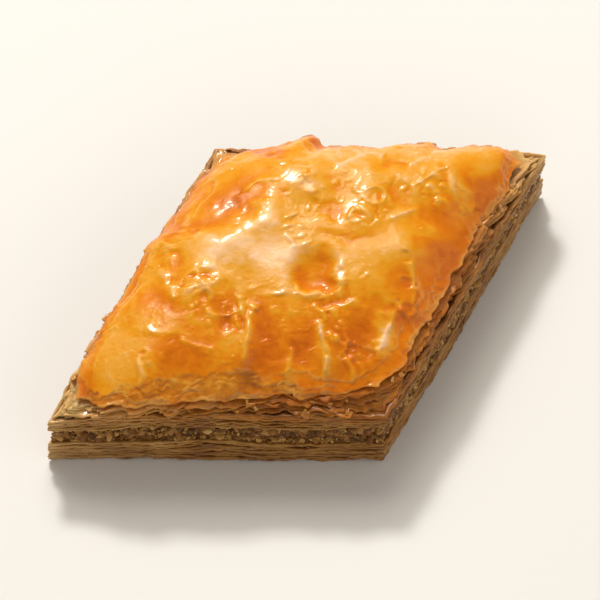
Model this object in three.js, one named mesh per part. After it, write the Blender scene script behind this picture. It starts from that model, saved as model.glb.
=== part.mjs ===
// A lozenge-cut piece of baklava: soaked pastry leaves at the bottom, a pressed
// layer of chopped nuts, and a thick stack of buttered leaves on top whose
// uppermost sheets have puffed into a glossy, wrinkled crown.
// Millimetres, +Z up. X runs along the two straight cut sides, Y across them,
// and the origin is under the middle of the piece on the face it rests on.

import * as THREE from 'three';

// ---- Driving dimensions -------------------------------------------------

const SIDE_LENGTH = 63.5; // straight cut sides, along X
const DEPTH = 59.5; // between the two straight cut sides, along Y
const LEAN = 32.3; // how far the slanted cut sides shift in +X over DEPTH

const BASE_TOP = 6.5; // top of the soaked bottom leaves
const NUT_TOP = 12.2; // top of the chopped-nut layer
const CUT_TOP = 16.4; // where the upright knife cut ends and the flaky ledge starts
const CRUST_EDGE = 19.4; // height of the crust's rim at mid side
const CROWN = 26.3; // height of the puffed middle
const TIP_DROP = 2.9; // how much lower everything lies at the two acute tips
const CRUST_SHEET = 0.8; // thickness shown by the crust's own edge
const LAYER_GAP = 0.3; // clearance between neighbouring layers
const FOOT_ROUND = 0.5; // small rounding where the cut sides meet the foot

const NUT_RECESS = 0.45; // the nut layer sits a little behind the cut leaves
const LAYER_WAVE = 0.45; // how far the layer boundaries rise and dip

const GRID = 36; // cells along each side of the crown's grid

// How fast the crown falls towards each side: distance over which it drops.
const FALL_FRONT = 10.5;
const FALL_BACK = 4.6;
const FALL_LEFT = 6.5;
const FALL_RIGHT = 6.0;

// ---- Small helpers ------------------------------------------------------

const lerp = (a, b, t) => a + (b - a) * t;
const bump = (d, w) => Math.exp(-((d / w) ** 2));
const clamp01 = (t) => Math.min(1, Math.max(0, t));
const smooth = (a, b, t) => {
  const k = clamp01((t - a) / (b - a));
  return k * k * (3 - 2 * k);
};

// Smooth curve through evenly named stops: [[t, value], ...]
function through(stops) {
  return (t) => {
    if (t <= stops[0][0]) return stops[0][1];
    for (let i = 1; i < stops.length; i++) {
      const [t1, v1] = stops[i];
      const [t0, v0] = stops[i - 1];
      if (t <= t1) {
        const k = (t - t0) / (t1 - t0);
        return lerp(v0, v1, k * k * (3 - 2 * k));
      }
    }
    return stops[stops.length - 1][1];
  };
}

function distanceToPath(x, y, path) {
  let best = Infinity;
  for (let i = 1; i < path.length; i++) {
    const [ax, ay] = path[i - 1];
    const [bx, by] = path[i];
    const dx = bx - ax;
    const dy = by - ay;
    const t = clamp01(((x - ax) * dx + (y - ay) * dy) / (dx * dx + dy * dy));
    best = Math.min(best, Math.hypot(x - ax - dx * t, y - ay - dy * t));
  }
  return best;
}

// ---- Plan outlines ------------------------------------------------------
// u runs 0..1 from the left cut side to the right one, v from front to back.
// Each outline is the lozenge with its four sides moved inwards by a distance
// that changes along the side.

function plan(u, v, inset) {
  const front = -DEPTH / 2 + inset.front(u);
  const back = DEPTH / 2 - inset.back(u);
  const y = lerp(front, back, v);
  const leaned = (y / DEPTH) * LEAN;
  const left = -SIDE_LENGTH / 2 + leaned + inset.left(v);
  const right = SIDE_LENGTH / 2 + leaned - inset.right(v);
  return [lerp(left, right, u), y];
}

// The knife cut: nearly straight, with the slight wander of a hand-held blade.
const cutInset = {
  front: (u) => 0.25 + 0.25 * Math.sin(5.1 * u + 0.6),
  back: (u) => 0.25 + 0.25 * Math.sin(4.3 * u + 2.2),
  left: (v) => 0.3 + 0.3 * Math.sin(4.7 * v + 1.1),
  right: (v) => 0.3 + 0.3 * Math.sin(5.6 * v + 3.0),
};

// The crust: shrunk back from the cut at the front, the right and the corners,
// with a few torn teeth that stick out over the cut along the back and left.
const crustInset = {
  front: (u) =>
    through([[0, 2.9], [0.14, 1.1], [0.3, 1.0], [0.55, 2.0], [0.85, 2.9], [1, 4.4]])(u) +
    0.35 * Math.sin(21 * u + 0.4) + 0.2 * Math.sin(47 * u),
  back: (u) =>
    through([[0, 3.9], [0.1, 2.2], [0.2, 0.6], [0.27, -0.8], [0.33, 1.5], [0.5, 1.3],
      [0.66, 0.5], [0.72, 1.9], [0.8, 0.4], [0.92, 1.2], [1, 3.4]])(u) +
    0.2 * Math.sin(39 * u + 1.3),
  left: (v) =>
    through([[0, 3.6], [0.12, 1.2], [0.3, 0.6], [0.52, 0.5], [0.61, -0.5], [0.7, 0.8],
      [0.85, 1.1], [1, 3.0]])(v) + 0.25 * Math.sin(33 * v),
  right: (v) =>
    through([[0, 4.0], [0.1, 1.9], [0.38, 2.0], [0.66, 3.0], [0.86, 2.2], [1, 3.2]])(v) +
    0.3 * Math.sin(27 * v + 2.0),
};

const mixInset = (a, b, t) => ({
  front: (u) => lerp(a.front(u), b.front(u), t),
  back: (u) => lerp(a.back(u), b.back(u), t),
  left: (v) => lerp(a.left(v), b.left(v), t),
  right: (v) => lerp(a.right(v), b.right(v), t),
});

const movedInset = (a, d) => ({
  front: (u) => a.front(u) + d,
  back: (u) => a.back(u) + d,
  left: (v) => a.left(v) + d,
  right: (v) => a.right(v) + d,
});

// Chopped nuts press unevenly against the blade, so their outline is lumpy.
const lump = (t, phase) =>
  0.22 * Math.sin(31 * t + phase) + 0.16 * Math.sin(53 * t + 2.1 * phase);
const nutInset = (phase) => ({
  front: (u) => cutInset.front(u) + NUT_RECESS + lump(u, phase),
  back: (u) => cutInset.back(u) + NUT_RECESS + lump(u, phase + 1.7),
  left: (v) => cutInset.left(v) + NUT_RECESS + lump(v, phase + 3.1),
  right: (v) => cutInset.right(v) + NUT_RECESS + lump(v, phase + 4.9),
});

// ---- Heights ------------------------------------------------------------

// 1 at the two acute tips, fading to 0 along the sides.
const nearTip = (x, y) => {
  const tipX = (SIDE_LENGTH + LEAN) / 2;
  const tipY = DEPTH / 2;
  const d = Math.min(Math.hypot(x - tipX, y - tipY), Math.hypot(x + tipX, y + tipY));
  return Math.exp(-d / 13);
};

const layerWave = (x, y) =>
  LAYER_WAVE * (0.6 * Math.sin(0.16 * x + 0.11 * y + 0.7) + 0.4 * Math.sin(0.29 * x - 0.21 * y));

const baseTopAt = (x, y) => BASE_TOP + layerWave(x, y) - 0.5 * nearTip(x, y);
const nutTopAt = (x, y) => NUT_TOP + layerWave(x + 9, y - 5) - 1.2 * nearTip(x, y);
const cutTopAt = (x, y) =>
  CUT_TOP - TIP_DROP * 0.85 * nearTip(x, y) + 0.35 * Math.sin(0.33 * x + 0.2 * y);

// The rim of the crust, lifted where a torn tooth curls up.
function crustEdgeAt(x, y) {
  const teeth =
    1.3 * bump(Math.hypot(x + 1.0, y - 30.0), 3.4) +
    0.9 * bump(Math.hypot(x + 29.0, y - 6.0), 3.0) +
    0.6 * bump(Math.hypot(x - 25.0, y - 29.0), 3.0);
  return (
    CRUST_EDGE - TIP_DROP * nearTip(x, y) + teeth +
    0.3 * Math.sin(0.42 * x - 0.3 * y + 1.0) - 0.5 * smooth(-10, -30, y)
  );
}

// ---- The crown's relief -------------------------------------------------

const RIDGE = [[-27, 4], [-14.7, 2.7], [-6.9, 7.8], [-1.6, 17.3]];
const BACK_RIDGE = [[4, 20], [16, 17], [27, 19]];

// Sunken blister in the middle of the crown, with a raised lip.
const CRATER = { x: 2.3, y: -3.8, r: 4.9, depth: 2.3, lip: 0.7 };

// Low round blisters: [x, y, radius, height]
const BLISTERS = [
  [1, 16.4, 3.6, 0.8],
  [14, 12.7, 3.0, 0.7],
  [10.8, 8.0, 3.2, 0.6],
  [-18.6, -6.4, 4.2, 0.8],
  [20, 3, 4.0, 0.5],
  [-9, 20, 3.6, 0.5],
];

// Pleats running down the front slope: [x, half width, depth]
const PLEATS = [
  [-12.3, 1.9, 1.1],
  [-7.4, 1.8, 1.4],
  [1.2, 2.2, 1.3],
  [9.4, 2.6, 1.4],
  [17.0, 2.0, 0.8],
];

function relief(x, y) {
  let h = 0;
  h += 0.9 * bump(distanceToPath(x, y, RIDGE), 3.2);
  h += 0.5 * bump(distanceToPath(x, y, BACK_RIDGE), 3.0);
  const rc = Math.hypot((x - CRATER.x) / 1.08, y - CRATER.y);
  h -= CRATER.depth * bump(rc, CRATER.r * 0.72);
  h += CRATER.lip * bump(rc - CRATER.r, 1.5);
  for (const [bx, by, r, height] of BLISTERS) h += height * bump(Math.hypot(x - bx, y - by), r);
  for (const [px, w, depth] of PLEATS) {
    const bend = px + 1.2 * Math.sin(0.3 * y);
    h -= depth * bump(x - bend, w) * smooth(-8, -14, y) * smooth(-29, -22, y);
  }
  h += 0.35 * Math.sin(0.38 * x + 0.9) * Math.sin(0.44 * y + 0.3);
  h += 0.2 * Math.sin(0.83 * x - 0.41 * y) * Math.sin(0.71 * y + 0.35 * x);
  return h;
}

// Height of the top surface: the rim, filled up towards the crown by how far
// the point is from each of the four sides.
function crownAt(u, v) {
  const [x, y] = plan(u, v, crustInset);
  const slant = 1 / Math.hypot(1, LEAN / DEPTH);
  const dFront = v * DEPTH;
  const dBack = (1 - v) * DEPTH;
  const dLeft = u * SIDE_LENGTH * slant;
  const dRight = (1 - u) * SIDE_LENGTH * slant;
  const rise = (d, fall) => 1 - Math.exp(-((d / fall) ** 1.25));
  const fill =
    rise(dFront, FALL_FRONT) * rise(dBack, FALL_BACK) *
    rise(dLeft, FALL_LEFT) * rise(dRight, FALL_RIGHT);
  const crown = CROWN - 0.9 * smooth(2, -14, y) - 0.7 * smooth(10, 34, Math.abs(x));
  return lerp(crustEdgeAt(x, y), crown, fill) + relief(x, y) * fill;
}

// ---- Solids -------------------------------------------------------------

// The boundary points, counter-clockwise from the front left tip, as [u, v].
function boundary() {
  const points = [];
  for (let i = 0; i < GRID; i++) points.push([i / GRID, 0]);
  for (let i = 0; i < GRID; i++) points.push([1, i / GRID]);
  for (let i = 0; i < GRID; i++) points.push([1 - i / GRID, 1]);
  for (let i = 0; i < GRID; i++) points.push([0, 1 - i / GRID]);
  return points;
}
const EDGE = boundary();

const ring = (inset, heightAt) =>
  EDGE.map(([u, v]) => {
    const [x, y] = plan(u, v, inset);
    return [x, y, heightAt(x, y)];
  });

// A closed solid from rings stacked bottom to top. Each end is closed either
// by a fan round a middle point or, at the top, by the crown's grid.
class Solid {
  constructor() {
    this.positions = [];
    this.index = [];
  }
  point(p) {
    this.positions.push(p[0], p[1], p[2]);
    return this.positions.length / 3 - 1;
  }
  ring(points) {
    return points.map((p) => this.point(p));
  }
  band(low, high) {
    const n = low.length;
    for (let i = 0; i < n; i++) {
      const j = (i + 1) % n;
      this.index.push(low[i], low[j], high[j], low[i], high[j], high[i]);
    }
  }
  fan(loop, z, up) {
    const middle = this.point([0, 0, z]);
    const n = loop.length;
    for (let i = 0; i < n; i++) {
      const j = (i + 1) % n;
      if (up) this.index.push(middle, loop[i], loop[j]);
      else this.index.push(middle, loop[j], loop[i]);
    }
  }
  // Closes the top with a grid whose border is the given ring.
  crown(rim) {
    const id = (i, j) => {
      if (j === 0) return rim[i];
      if (i === GRID) return rim[GRID + j];
      if (j === GRID) return rim[3 * GRID - i];
      if (i === 0) return rim[4 * GRID - j];
      return inner[(j - 1) * (GRID - 1) + (i - 1)];
    };
    const inner = [];
    for (let j = 1; j < GRID; j++)
      for (let i = 1; i < GRID; i++) {
        const u = i / GRID;
        const v = j / GRID;
        const [x, y] = plan(u, v, crustInset);
        inner.push(this.point([x, y, crownAt(u, v)]));
      }
    for (let j = 0; j < GRID; j++)
      for (let i = 0; i < GRID; i++) {
        const a = id(i, j);
        const b = id(i + 1, j);
        const c = id(i + 1, j + 1);
        const d = id(i, j + 1);
        if ((i + j) % 2) this.index.push(a, b, c, a, c, d);
        else this.index.push(a, b, d, b, c, d);
      }
  }
  geometry() {
    const g = new THREE.BufferGeometry();
    g.setAttribute('position', new THREE.Float32BufferAttribute(this.positions, 3));
    g.setIndex(this.index);
    g.computeVertexNormals();
    return g;
  }
}

const flat = (z) => () => z;
const half = LAYER_GAP / 2;

// Soaked bottom leaves: flat foot, upright cut sides.
function basePastry() {
  const s = new Solid();
  const foot = s.ring(ring(movedInset(cutInset, FOOT_ROUND), flat(0)));
  const heel = s.ring(ring(cutInset, flat(FOOT_ROUND * 1.4)));
  const top = s.ring(ring(movedInset(cutInset, 0.2), (x, y) => baseTopAt(x, y) - half));
  s.fan(foot, 0, false);
  s.band(foot, heel);
  s.band(heel, top);
  s.fan(top, BASE_TOP - half, true);
  return s.geometry();
}

// The nut layer, right through the piece, a little behind the cut leaves.
function nutFilling() {
  const s = new Solid();
  const low = s.ring(ring(nutInset(0.4), (x, y) => baseTopAt(x, y) + half));
  const middle = s.ring(
    ring(movedInset(nutInset(2.3), -0.25), (x, y) => (baseTopAt(x, y) + nutTopAt(x, y)) / 2),
  );
  const high = s.ring(ring(nutInset(4.1), (x, y) => nutTopAt(x, y) - half));
  s.fan(low, BASE_TOP + half, false);
  s.band(low, middle);
  s.band(middle, high);
  s.fan(high, NUT_TOP - half, true);
  return s.geometry();
}

// Top leaves: an upright cut, a ledge of broken leaves stepping back, then the
// edge of the crust and its puffed crown.
function topPastry() {
  const s = new Solid();
  const low = s.ring(ring(movedInset(cutInset, 0.25), (x, y) => nutTopAt(x, y) + half));
  const cut = s.ring(ring(cutInset, cutTopAt));
  const ledge = s.ring(
    ring(mixInset(cutInset, crustInset, 0.55), (x, y) =>
      lerp(cutTopAt(x, y), crustEdgeAt(x, y) - CRUST_SHEET, 0.5)),
  );
  const under = s.ring(
    ring(movedInset(crustInset, 0.15), (x, y) => crustEdgeAt(x, y) - CRUST_SHEET),
  );
  const rim = s.ring(ring(crustInset, crustEdgeAt));
  s.fan(low, NUT_TOP + half, false);
  s.band(low, cut);
  s.band(cut, ledge);
  s.band(ledge, under);
  s.band(under, rim);
  s.crown(rim);
  return s.geometry();
}

// ---- The piece ----------------------------------------------------------

const finish = {
  base: new THREE.MeshStandardMaterial({ color: 0x8a6236, roughness: 0.45, metalness: 0 }),
  nuts: new THREE.MeshStandardMaterial({ color: 0x6f6232, roughness: 0.6, metalness: 0 }),
  crust: new THREE.MeshStandardMaterial({ color: 0xe8962e, roughness: 0.25, metalness: 0 }),
};

const layers = [
  ['base_pastry', basePastry(), finish.base],
  ['nut_filling', nutFilling(), finish.nuts],
  ['top_pastry', topPastry(), finish.crust],
];

// Centre the whole piece over the origin, keeping its foot at z = 0.
const box = new THREE.Box3();
for (const [, geometry] of layers) {
  geometry.computeBoundingBox();
  box.union(geometry.boundingBox);
}
const middle = box.getCenter(new THREE.Vector3());

const baklavaPiece = new THREE.Group();
for (const [name, geometry, material] of layers) {
  geometry.translate(-middle.x, -middle.y, -box.min.z);
  const mesh = new THREE.Mesh(geometry, material);
  mesh.name = name;
  baklavaPiece.add(mesh);
}

export default baklavaPiece;
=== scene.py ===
"""Looks of a lozenge-cut baklava piece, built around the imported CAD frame.

Lengths are worked out in millimetres in the same plan as the CAD solids and
turned into metres when a mesh is made.
"""

import math

import bpy
import numpy as np
from mathutils import Matrix, Vector


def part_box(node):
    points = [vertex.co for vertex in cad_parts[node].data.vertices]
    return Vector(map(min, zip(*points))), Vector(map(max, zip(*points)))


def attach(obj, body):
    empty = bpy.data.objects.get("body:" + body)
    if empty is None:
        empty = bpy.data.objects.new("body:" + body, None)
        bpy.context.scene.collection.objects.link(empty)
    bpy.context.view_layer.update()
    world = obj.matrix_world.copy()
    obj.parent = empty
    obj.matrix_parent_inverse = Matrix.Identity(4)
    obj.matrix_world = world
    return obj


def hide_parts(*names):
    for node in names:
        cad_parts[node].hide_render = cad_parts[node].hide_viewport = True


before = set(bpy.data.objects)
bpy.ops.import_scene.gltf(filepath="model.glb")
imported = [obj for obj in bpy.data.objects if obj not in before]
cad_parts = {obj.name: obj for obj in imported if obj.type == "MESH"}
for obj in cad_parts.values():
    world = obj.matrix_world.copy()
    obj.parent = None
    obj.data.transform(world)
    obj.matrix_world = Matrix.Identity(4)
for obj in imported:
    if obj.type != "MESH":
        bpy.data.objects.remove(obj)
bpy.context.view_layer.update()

# --------------------------------------------------------------------------
# Sizes, as in the CAD solids (mm)
# --------------------------------------------------------------------------
SIDE, DEPTH, LEAN = 63.5, 59.5, 32.3
BASE_TOP, NUT_TOP, CUT_TOP = 6.5, 12.2, 16.4
CRUST_EDGE, CROWN, TIP_DROP = 19.4, 26.3, 2.9
NUT_RECESS, LAYER_WAVE = 0.45, 0.45
FALL_FRONT, FALL_BACK, FALL_LEFT, FALL_RIGHT = 10.5, 4.6, 6.5, 6.0
SLANT = 1 / math.hypot(1, LEAN / DEPTH)


def lerp(a, b, t):
    return a + (b - a) * t


def bump(d, w):
    return np.exp(-((d / w) ** 2))


def smooth(a, b, t):
    k = np.clip((t - a) / (b - a), 0, 1)
    return k * k * (3 - 2 * k)


def through(stops, t):
    t = np.asarray(t, float)
    xs = np.array([s[0] for s in stops], float)
    ys = np.array([s[1] for s in stops], float)
    i = np.clip(np.searchsorted(xs, t, side="left") - 1, 0, len(xs) - 2)
    k = np.clip((t - xs[i]) / (xs[i + 1] - xs[i]), 0, 1)
    k = k * k * (3 - 2 * k)
    return ys[i] + (ys[i + 1] - ys[i]) * k


CUT = {
    "front": lambda u: 0.25 + 0.25 * np.sin(5.1 * u + 0.6),
    "back": lambda u: 0.25 + 0.25 * np.sin(4.3 * u + 2.2),
    "left": lambda v: 0.3 + 0.3 * np.sin(4.7 * v + 1.1),
    "right": lambda v: 0.3 + 0.3 * np.sin(5.6 * v + 3.0),
}
CRUST = {
    "front": lambda u: through(
        [(0, 2.9), (0.14, 1.1), (0.3, 1.0), (0.55, 2.0), (0.85, 2.9), (1, 4.4)], u
    )
    + 0.35 * np.sin(21 * u + 0.4)
    + 0.2 * np.sin(47 * u),
    "back": lambda u: through(
        [(0, 3.9), (0.1, 2.2), (0.2, 0.6), (0.27, -0.8), (0.33, 1.5), (0.5, 1.3),
         (0.66, 0.5), (0.72, 1.9), (0.8, 0.4), (0.92, 1.2), (1, 3.4)], u
    )
    + 0.2 * np.sin(39 * u + 1.3),
    "left": lambda v: through(
        [(0, 3.6), (0.12, 1.2), (0.3, 0.6), (0.52, 0.5), (0.61, -0.5), (0.7, 0.8),
         (0.85, 1.1), (1, 3.0)], v
    )
    + 0.25 * np.sin(33 * v),
    "right": lambda v: through(
        [(0, 4.0), (0.1, 1.9), (0.38, 2.0), (0.66, 3.0), (0.86, 2.2), (1, 3.2)], v
    )
    + 0.3 * np.sin(27 * v + 2.0),
}


def plan(u, v, ins, d=0.0):
    """Plan position of (u, v) inside an outline; d moves the outline inwards."""
    front = -DEPTH / 2 + ins["front"](u) + d
    back = DEPTH / 2 - ins["back"](u) - d
    y = lerp(front, back, v)
    leaned = y / DEPTH * LEAN
    left = -SIDE / 2 + leaned + ins["left"](v) + d / SLANT
    right = SIDE / 2 + leaned - ins["right"](v) - d / SLANT
    return lerp(left, right, u), y


def mixed(a, b, t):
    """An outline between a and b; t may be an array over the points."""
    return {k: (lambda s, k=k: lerp(a[k](s), b[k](s), t)) for k in a}


def uv_of(x, y, ins):
    """(u, v) of a plan position inside an outline."""
    u = np.clip((x - y / DEPTH * LEAN) / SIDE + 0.5, 0, 1)
    v = np.clip(y / DEPTH + 0.5, 0, 1)
    for _ in range(3):
        front = -DEPTH / 2 + ins["front"](u)
        back = DEPTH / 2 - ins["back"](u)
        v = np.clip((y - front) / (back - front), 0, 1)
        leaned = y / DEPTH * LEAN
        left = -SIDE / 2 + leaned + ins["left"](v)
        right = SIDE / 2 + leaned - ins["right"](v)
        u = np.clip((x - left) / (right - left), 0, 1)
    return u, v


# --------------------------------------------------------------------------
# Noise, seeded
# --------------------------------------------------------------------------
_tables = {}


def _table(seed):
    if seed not in _tables:
        r = np.random.RandomState(seed)
        _tables[seed] = (r.permutation(256), r.rand(256))
    return _tables[seed]


def noise3(x, y, z=0.0, seed=0):
    """Smooth value noise in -1..1."""
    perm, val = _table(seed)
    x, y, z = np.broadcast_arrays(
        np.asarray(x, float), np.asarray(y, float), np.asarray(z, float)
    )
    xi, yi, zi = (np.floor(a).astype(np.int64) for a in (x, y, z))
    fx, fy, fz = x - xi, y - yi, z - zi
    fx, fy, fz = (f * f * f * (f * (f * 6 - 15) + 10) for f in (fx, fy, fz))

    def g(a, b, c):
        return val[perm[(perm[(perm[a & 255] + b) & 255] + c) & 255]]

    out = 0
    for dz in (0, 1):
        wz = fz if dz else 1 - fz
        for dy in (0, 1):
            wy = fy if dy else 1 - fy
            out = out + wz * wy * (
                g(xi, yi + dy, zi + dz) * (1 - fx) + g(xi + 1, yi + dy, zi + dz) * fx
            )
    return out * 2 - 1


def fbm(x, y, z=0.0, seed=0, octaves=4, gain=0.5):
    total, amp, norm = 0, 1.0, 0.0
    for o in range(octaves):
        f = 2.0**o
        total = total + amp * noise3(
            np.asarray(x) * f + 17.3 * o, np.asarray(y) * f - 9.1 * o,
            np.asarray(z) * f + 5.7 * o, seed + o,
        )
        norm += amp
        amp *= gain
    return total / norm


def ridged(x, y, z=0.0, seed=0, octaves=3):
    total, amp, norm = 0, 1.0, 0.0
    for o in range(octaves):
        f = 2.0**o
        n = 1 - np.abs(noise3(np.asarray(x) * f + 3.1 * o, np.asarray(y) * f, z, seed + o)) * 2
        total = total + amp * np.clip(n, -1, 1)
        norm += amp
        amp *= 0.5
    return total / norm


# --------------------------------------------------------------------------
# Heights
# --------------------------------------------------------------------------
def near_tip(x, y):
    tx, ty = (SIDE + LEAN) / 2, DEPTH / 2
    return np.exp(-np.minimum(np.hypot(x - tx, y - ty), np.hypot(x + tx, y + ty)) / 13)


def layer_wave(x, y):
    return LAYER_WAVE * (
        0.6 * np.sin(0.16 * x + 0.11 * y + 0.7) + 0.4 * np.sin(0.29 * x - 0.21 * y)
    )


def base_top(x, y):
    return BASE_TOP + layer_wave(x, y) - 0.5 * near_tip(x, y)


def nut_top(x, y):
    return NUT_TOP + layer_wave(x + 9, y - 5) - 1.2 * near_tip(x, y)


def cut_top(x, y):
    return CUT_TOP - TIP_DROP * 0.85 * near_tip(x, y) + 0.35 * np.sin(0.33 * x + 0.2 * y)


def crust_edge(x, y):
    teeth = (
        1.3 * bump(np.hypot(x + 1.0, y - 30.0), 3.4)
        + 0.9 * bump(np.hypot(x + 29.0, y - 6.0), 3.0)
        + 0.6 * bump(np.hypot(x - 25.0, y - 29.0), 3.0)
    )
    return (
        CRUST_EDGE - TIP_DROP * near_tip(x, y) + teeth
        + 0.3 * np.sin(0.42 * x - 0.3 * y + 1.0) - 0.5 * smooth(-10, -30, y)
    )


def path_dist(x, y, path):
    best = np.full(np.shape(x), 1e9)
    for (ax, ay), (bx, by) in zip(path[:-1], path[1:]):
        dx, dy = bx - ax, by - ay
        t = np.clip(((x - ax) * dx + (y - ay) * dy) / (dx * dx + dy * dy), 0, 1)
        best = np.minimum(best, np.hypot(x - ax - dx * t, y - ay - dy * t))
    return best


RIDGE = [(-27, 4), (-14.7, 2.7), (-6.9, 7.8), (-1.6, 17.3)]
BACK_RIDGE = [(4, 20), (16, 17), (27, 19)]
VALLEY = [(-24, 8.6), (-15.5, 8.0), (-12.0, 10.4)]
BLISTERS = [
    (1, 16.4, 3.6, 0.8), (14, 12.7, 3.0, 0.7), (10.8, 8.0, 3.2, 0.6),
    (-18.6, -6.4, 4.2, 0.8), (20, 3, 4.0, 0.5), (-9, 20, 3.6, 0.5),
]
# soaked pockets: centre, half sizes, depth, tone; the nearly flat one on the back-left slope at (-15.0, 13.5) mostly
# darkens the tone, as painted shade
POCKETS = [
    (-8.2, -15.6, 2.0, 4.6, 1.15, 0.82), (-0.4, -19.6, 2.7, 2.7, 1.0, 0.7),
    (10.6, -14.4, 3.7, 4.0, 1.25, 0.84), (18.0, -11.3, 1.2, 3.0, 0.7, 0.7),
    (-23.0, -18.2, 6.5, 2.4, 0.25, 0.5), (-26.6, -8.0, 2.2, 2.8, 0.45, 0.55),
    (-14.0, 11.6, 3.0, 2.6, 0.26, 0.5), (-21.5, 7.6, 4.4, 1.3, 0.35, 0.5),
    (25.6, 9.6, 2.4, 2.8, 0.55, 0.6), (29.0, 2.6, 1.8, 4.5, 0.2, 0.45),
    (35.0, 17.0, 2.8, 2.8, 0.35, 0.6), (-6.0, 24.6, 4.4, 1.8, 0.35, 0.5),
    (-18.0, -4.4, 2.3, 1.1, 0.45, 0.8), (8.0, 3.2, 4.2, 1.1, 0.30, 0.35),
    (-30.5, -3.0, 1.5, 5.0, 0.15, 0.45), (17.5, 20.5, 3.2, 2.0, 0.4, 0.35),
    (3.6, -9.9, 2.6, 0.9, 0.2, 0.3), (-14.5, -13.5, 1.5, 2.4, 0.5, 0.35),
    (21.0, -3.0, 2.2, 3.0, 0.35, 0.3), (-3.0, 12.5, 1.6, 2.0, 0.3, 0.3),
    (-15.5, -14.5, 4.6, 3.8, 0.12, 0.65), (-15.0, 13.5, 6.5, 5.0, 0.05, 0.82), (30.5, 9.0, 2.0, 6.0, 0.1, 0.22),
    (2.3, -4.2, 3.7, 3.3, 0.0, 0.16), (26.0, 1.0, 2.6, 7.0, 0.05, 0.3),
]


def pocket(x, y, p, power=2.0):
    d = np.hypot((x - p[0]) / p[2], (y - p[1]) / p[3])
    return np.exp(-(d**power))


def relief(x, y):
    # an irregular outline for every feature
    wx = x + 1.1 * fbm(x / 6.5, y / 6.5, 0, 301, 3)
    wy = y + 1.1 * fbm(x / 6.5 + 40, y / 6.5, 0, 311, 3)
    h = 0.80 * np.exp(-((path_dist(wx, wy, RIDGE) / 3.3) ** 1.7))
    h = h + 0.45 * bump(path_dist(wx, wy, BACK_RIDGE), 3.0)
    h = h - 0.45 * bump(path_dist(wx, wy, VALLEY), 2.8)
    turn = np.arctan2(wy + 3.8, wx - 2.3)
    rc = (np.abs((wx - 2.3) / 1.06) ** 2.6 + np.abs(wy + 3.8) ** 2.6) ** (1 / 2.6) * (
        1 + 0.05 * np.cos(2 * turn + 0.6) + 0.06 * np.cos(3 * turn - 1.0) + 0.04 * np.cos(5 * turn)
    )
    h = h + (0.13 * (wy + 3.8) - 1.75) * np.exp(-((rc / 3.8) ** 3.0)) + 0.45 * bump(rc - 4.7, 1.1) * (
        0.15 + 0.85 * smooth(-0.3, 0.9, np.cos(turn + 0.9) + 0.3 * np.cos(3 * turn))
    )
    for bx, by, r, hh in BLISTERS:
        h = h + hh * bump(np.hypot(wx - bx, wy - by), r)
    qx = x + 2.2 * fbm(x / 4.6, y / 4.6, 0, 303, 3)
    qy = y + 2.2 * fbm(x / 4.6 + 40, y / 4.6, 0, 313, 3)
    for p in POCKETS:
        h = h - 0.8 * p[4] * pocket(qx, qy, p)
    h = h + 0.42 * fbm(x / 9.0, y / 9.0, 0, 331, 2)
    h = h - 0.22 * smooth(0.15, 0.55, fbm(x / 4.6, y / 4.6, 4.0, 341, 2)) * (1 - 0.85 * calm_of(x, y))
    return h


def fill_of(u, v):
    """0 at the crust's outline, 1 on its crown."""

    def rise(d, fall):
        return 1 - np.exp(-((np.maximum(d, 0) / fall) ** 1.25))

    return (
        rise(v * DEPTH, FALL_FRONT) * rise((1 - v) * DEPTH, FALL_BACK)
        * rise(u * SIDE * SLANT, FALL_LEFT) * rise((1 - u) * SIDE * SLANT, FALL_RIGHT)
    )


def crown(u, v):
    """Height of the crust's support at (u, v) of the crust's outline."""
    x, y = plan(u, v, CRUST)
    fill = fill_of(u, v)
    top = CROWN - 0.9 * smooth(2, -14, y) - 0.7 * smooth(10, 34, np.abs(x))
    return lerp(crust_edge(x, y), top, fill) + relief(x, y) * fill


def perimeter(n):
    """Boundary (u, v), counter-clockwise from the front left tip, 4n points."""
    t = np.arange(n) / n
    o, i = np.zeros(n), np.ones(n)
    return np.concatenate([t, i, 1 - t, o]), np.concatenate([o, t, i, 1 - t])


# where the CAD's plan centre lies in this plan
_u, _v = perimeter(36)
_x, _y = plan(_u, _v, CUT)
_lo, _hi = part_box("base_pastry")
SHIFT_X = 0.5 * (_lo[0] + _hi[0]) * 1000 - 0.5 * (_x.min() + _x.max())
SHIFT_Y = 0.5 * (_lo[1] + _hi[1]) * 1000 - 0.5 * (_y.min() + _y.max())


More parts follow.
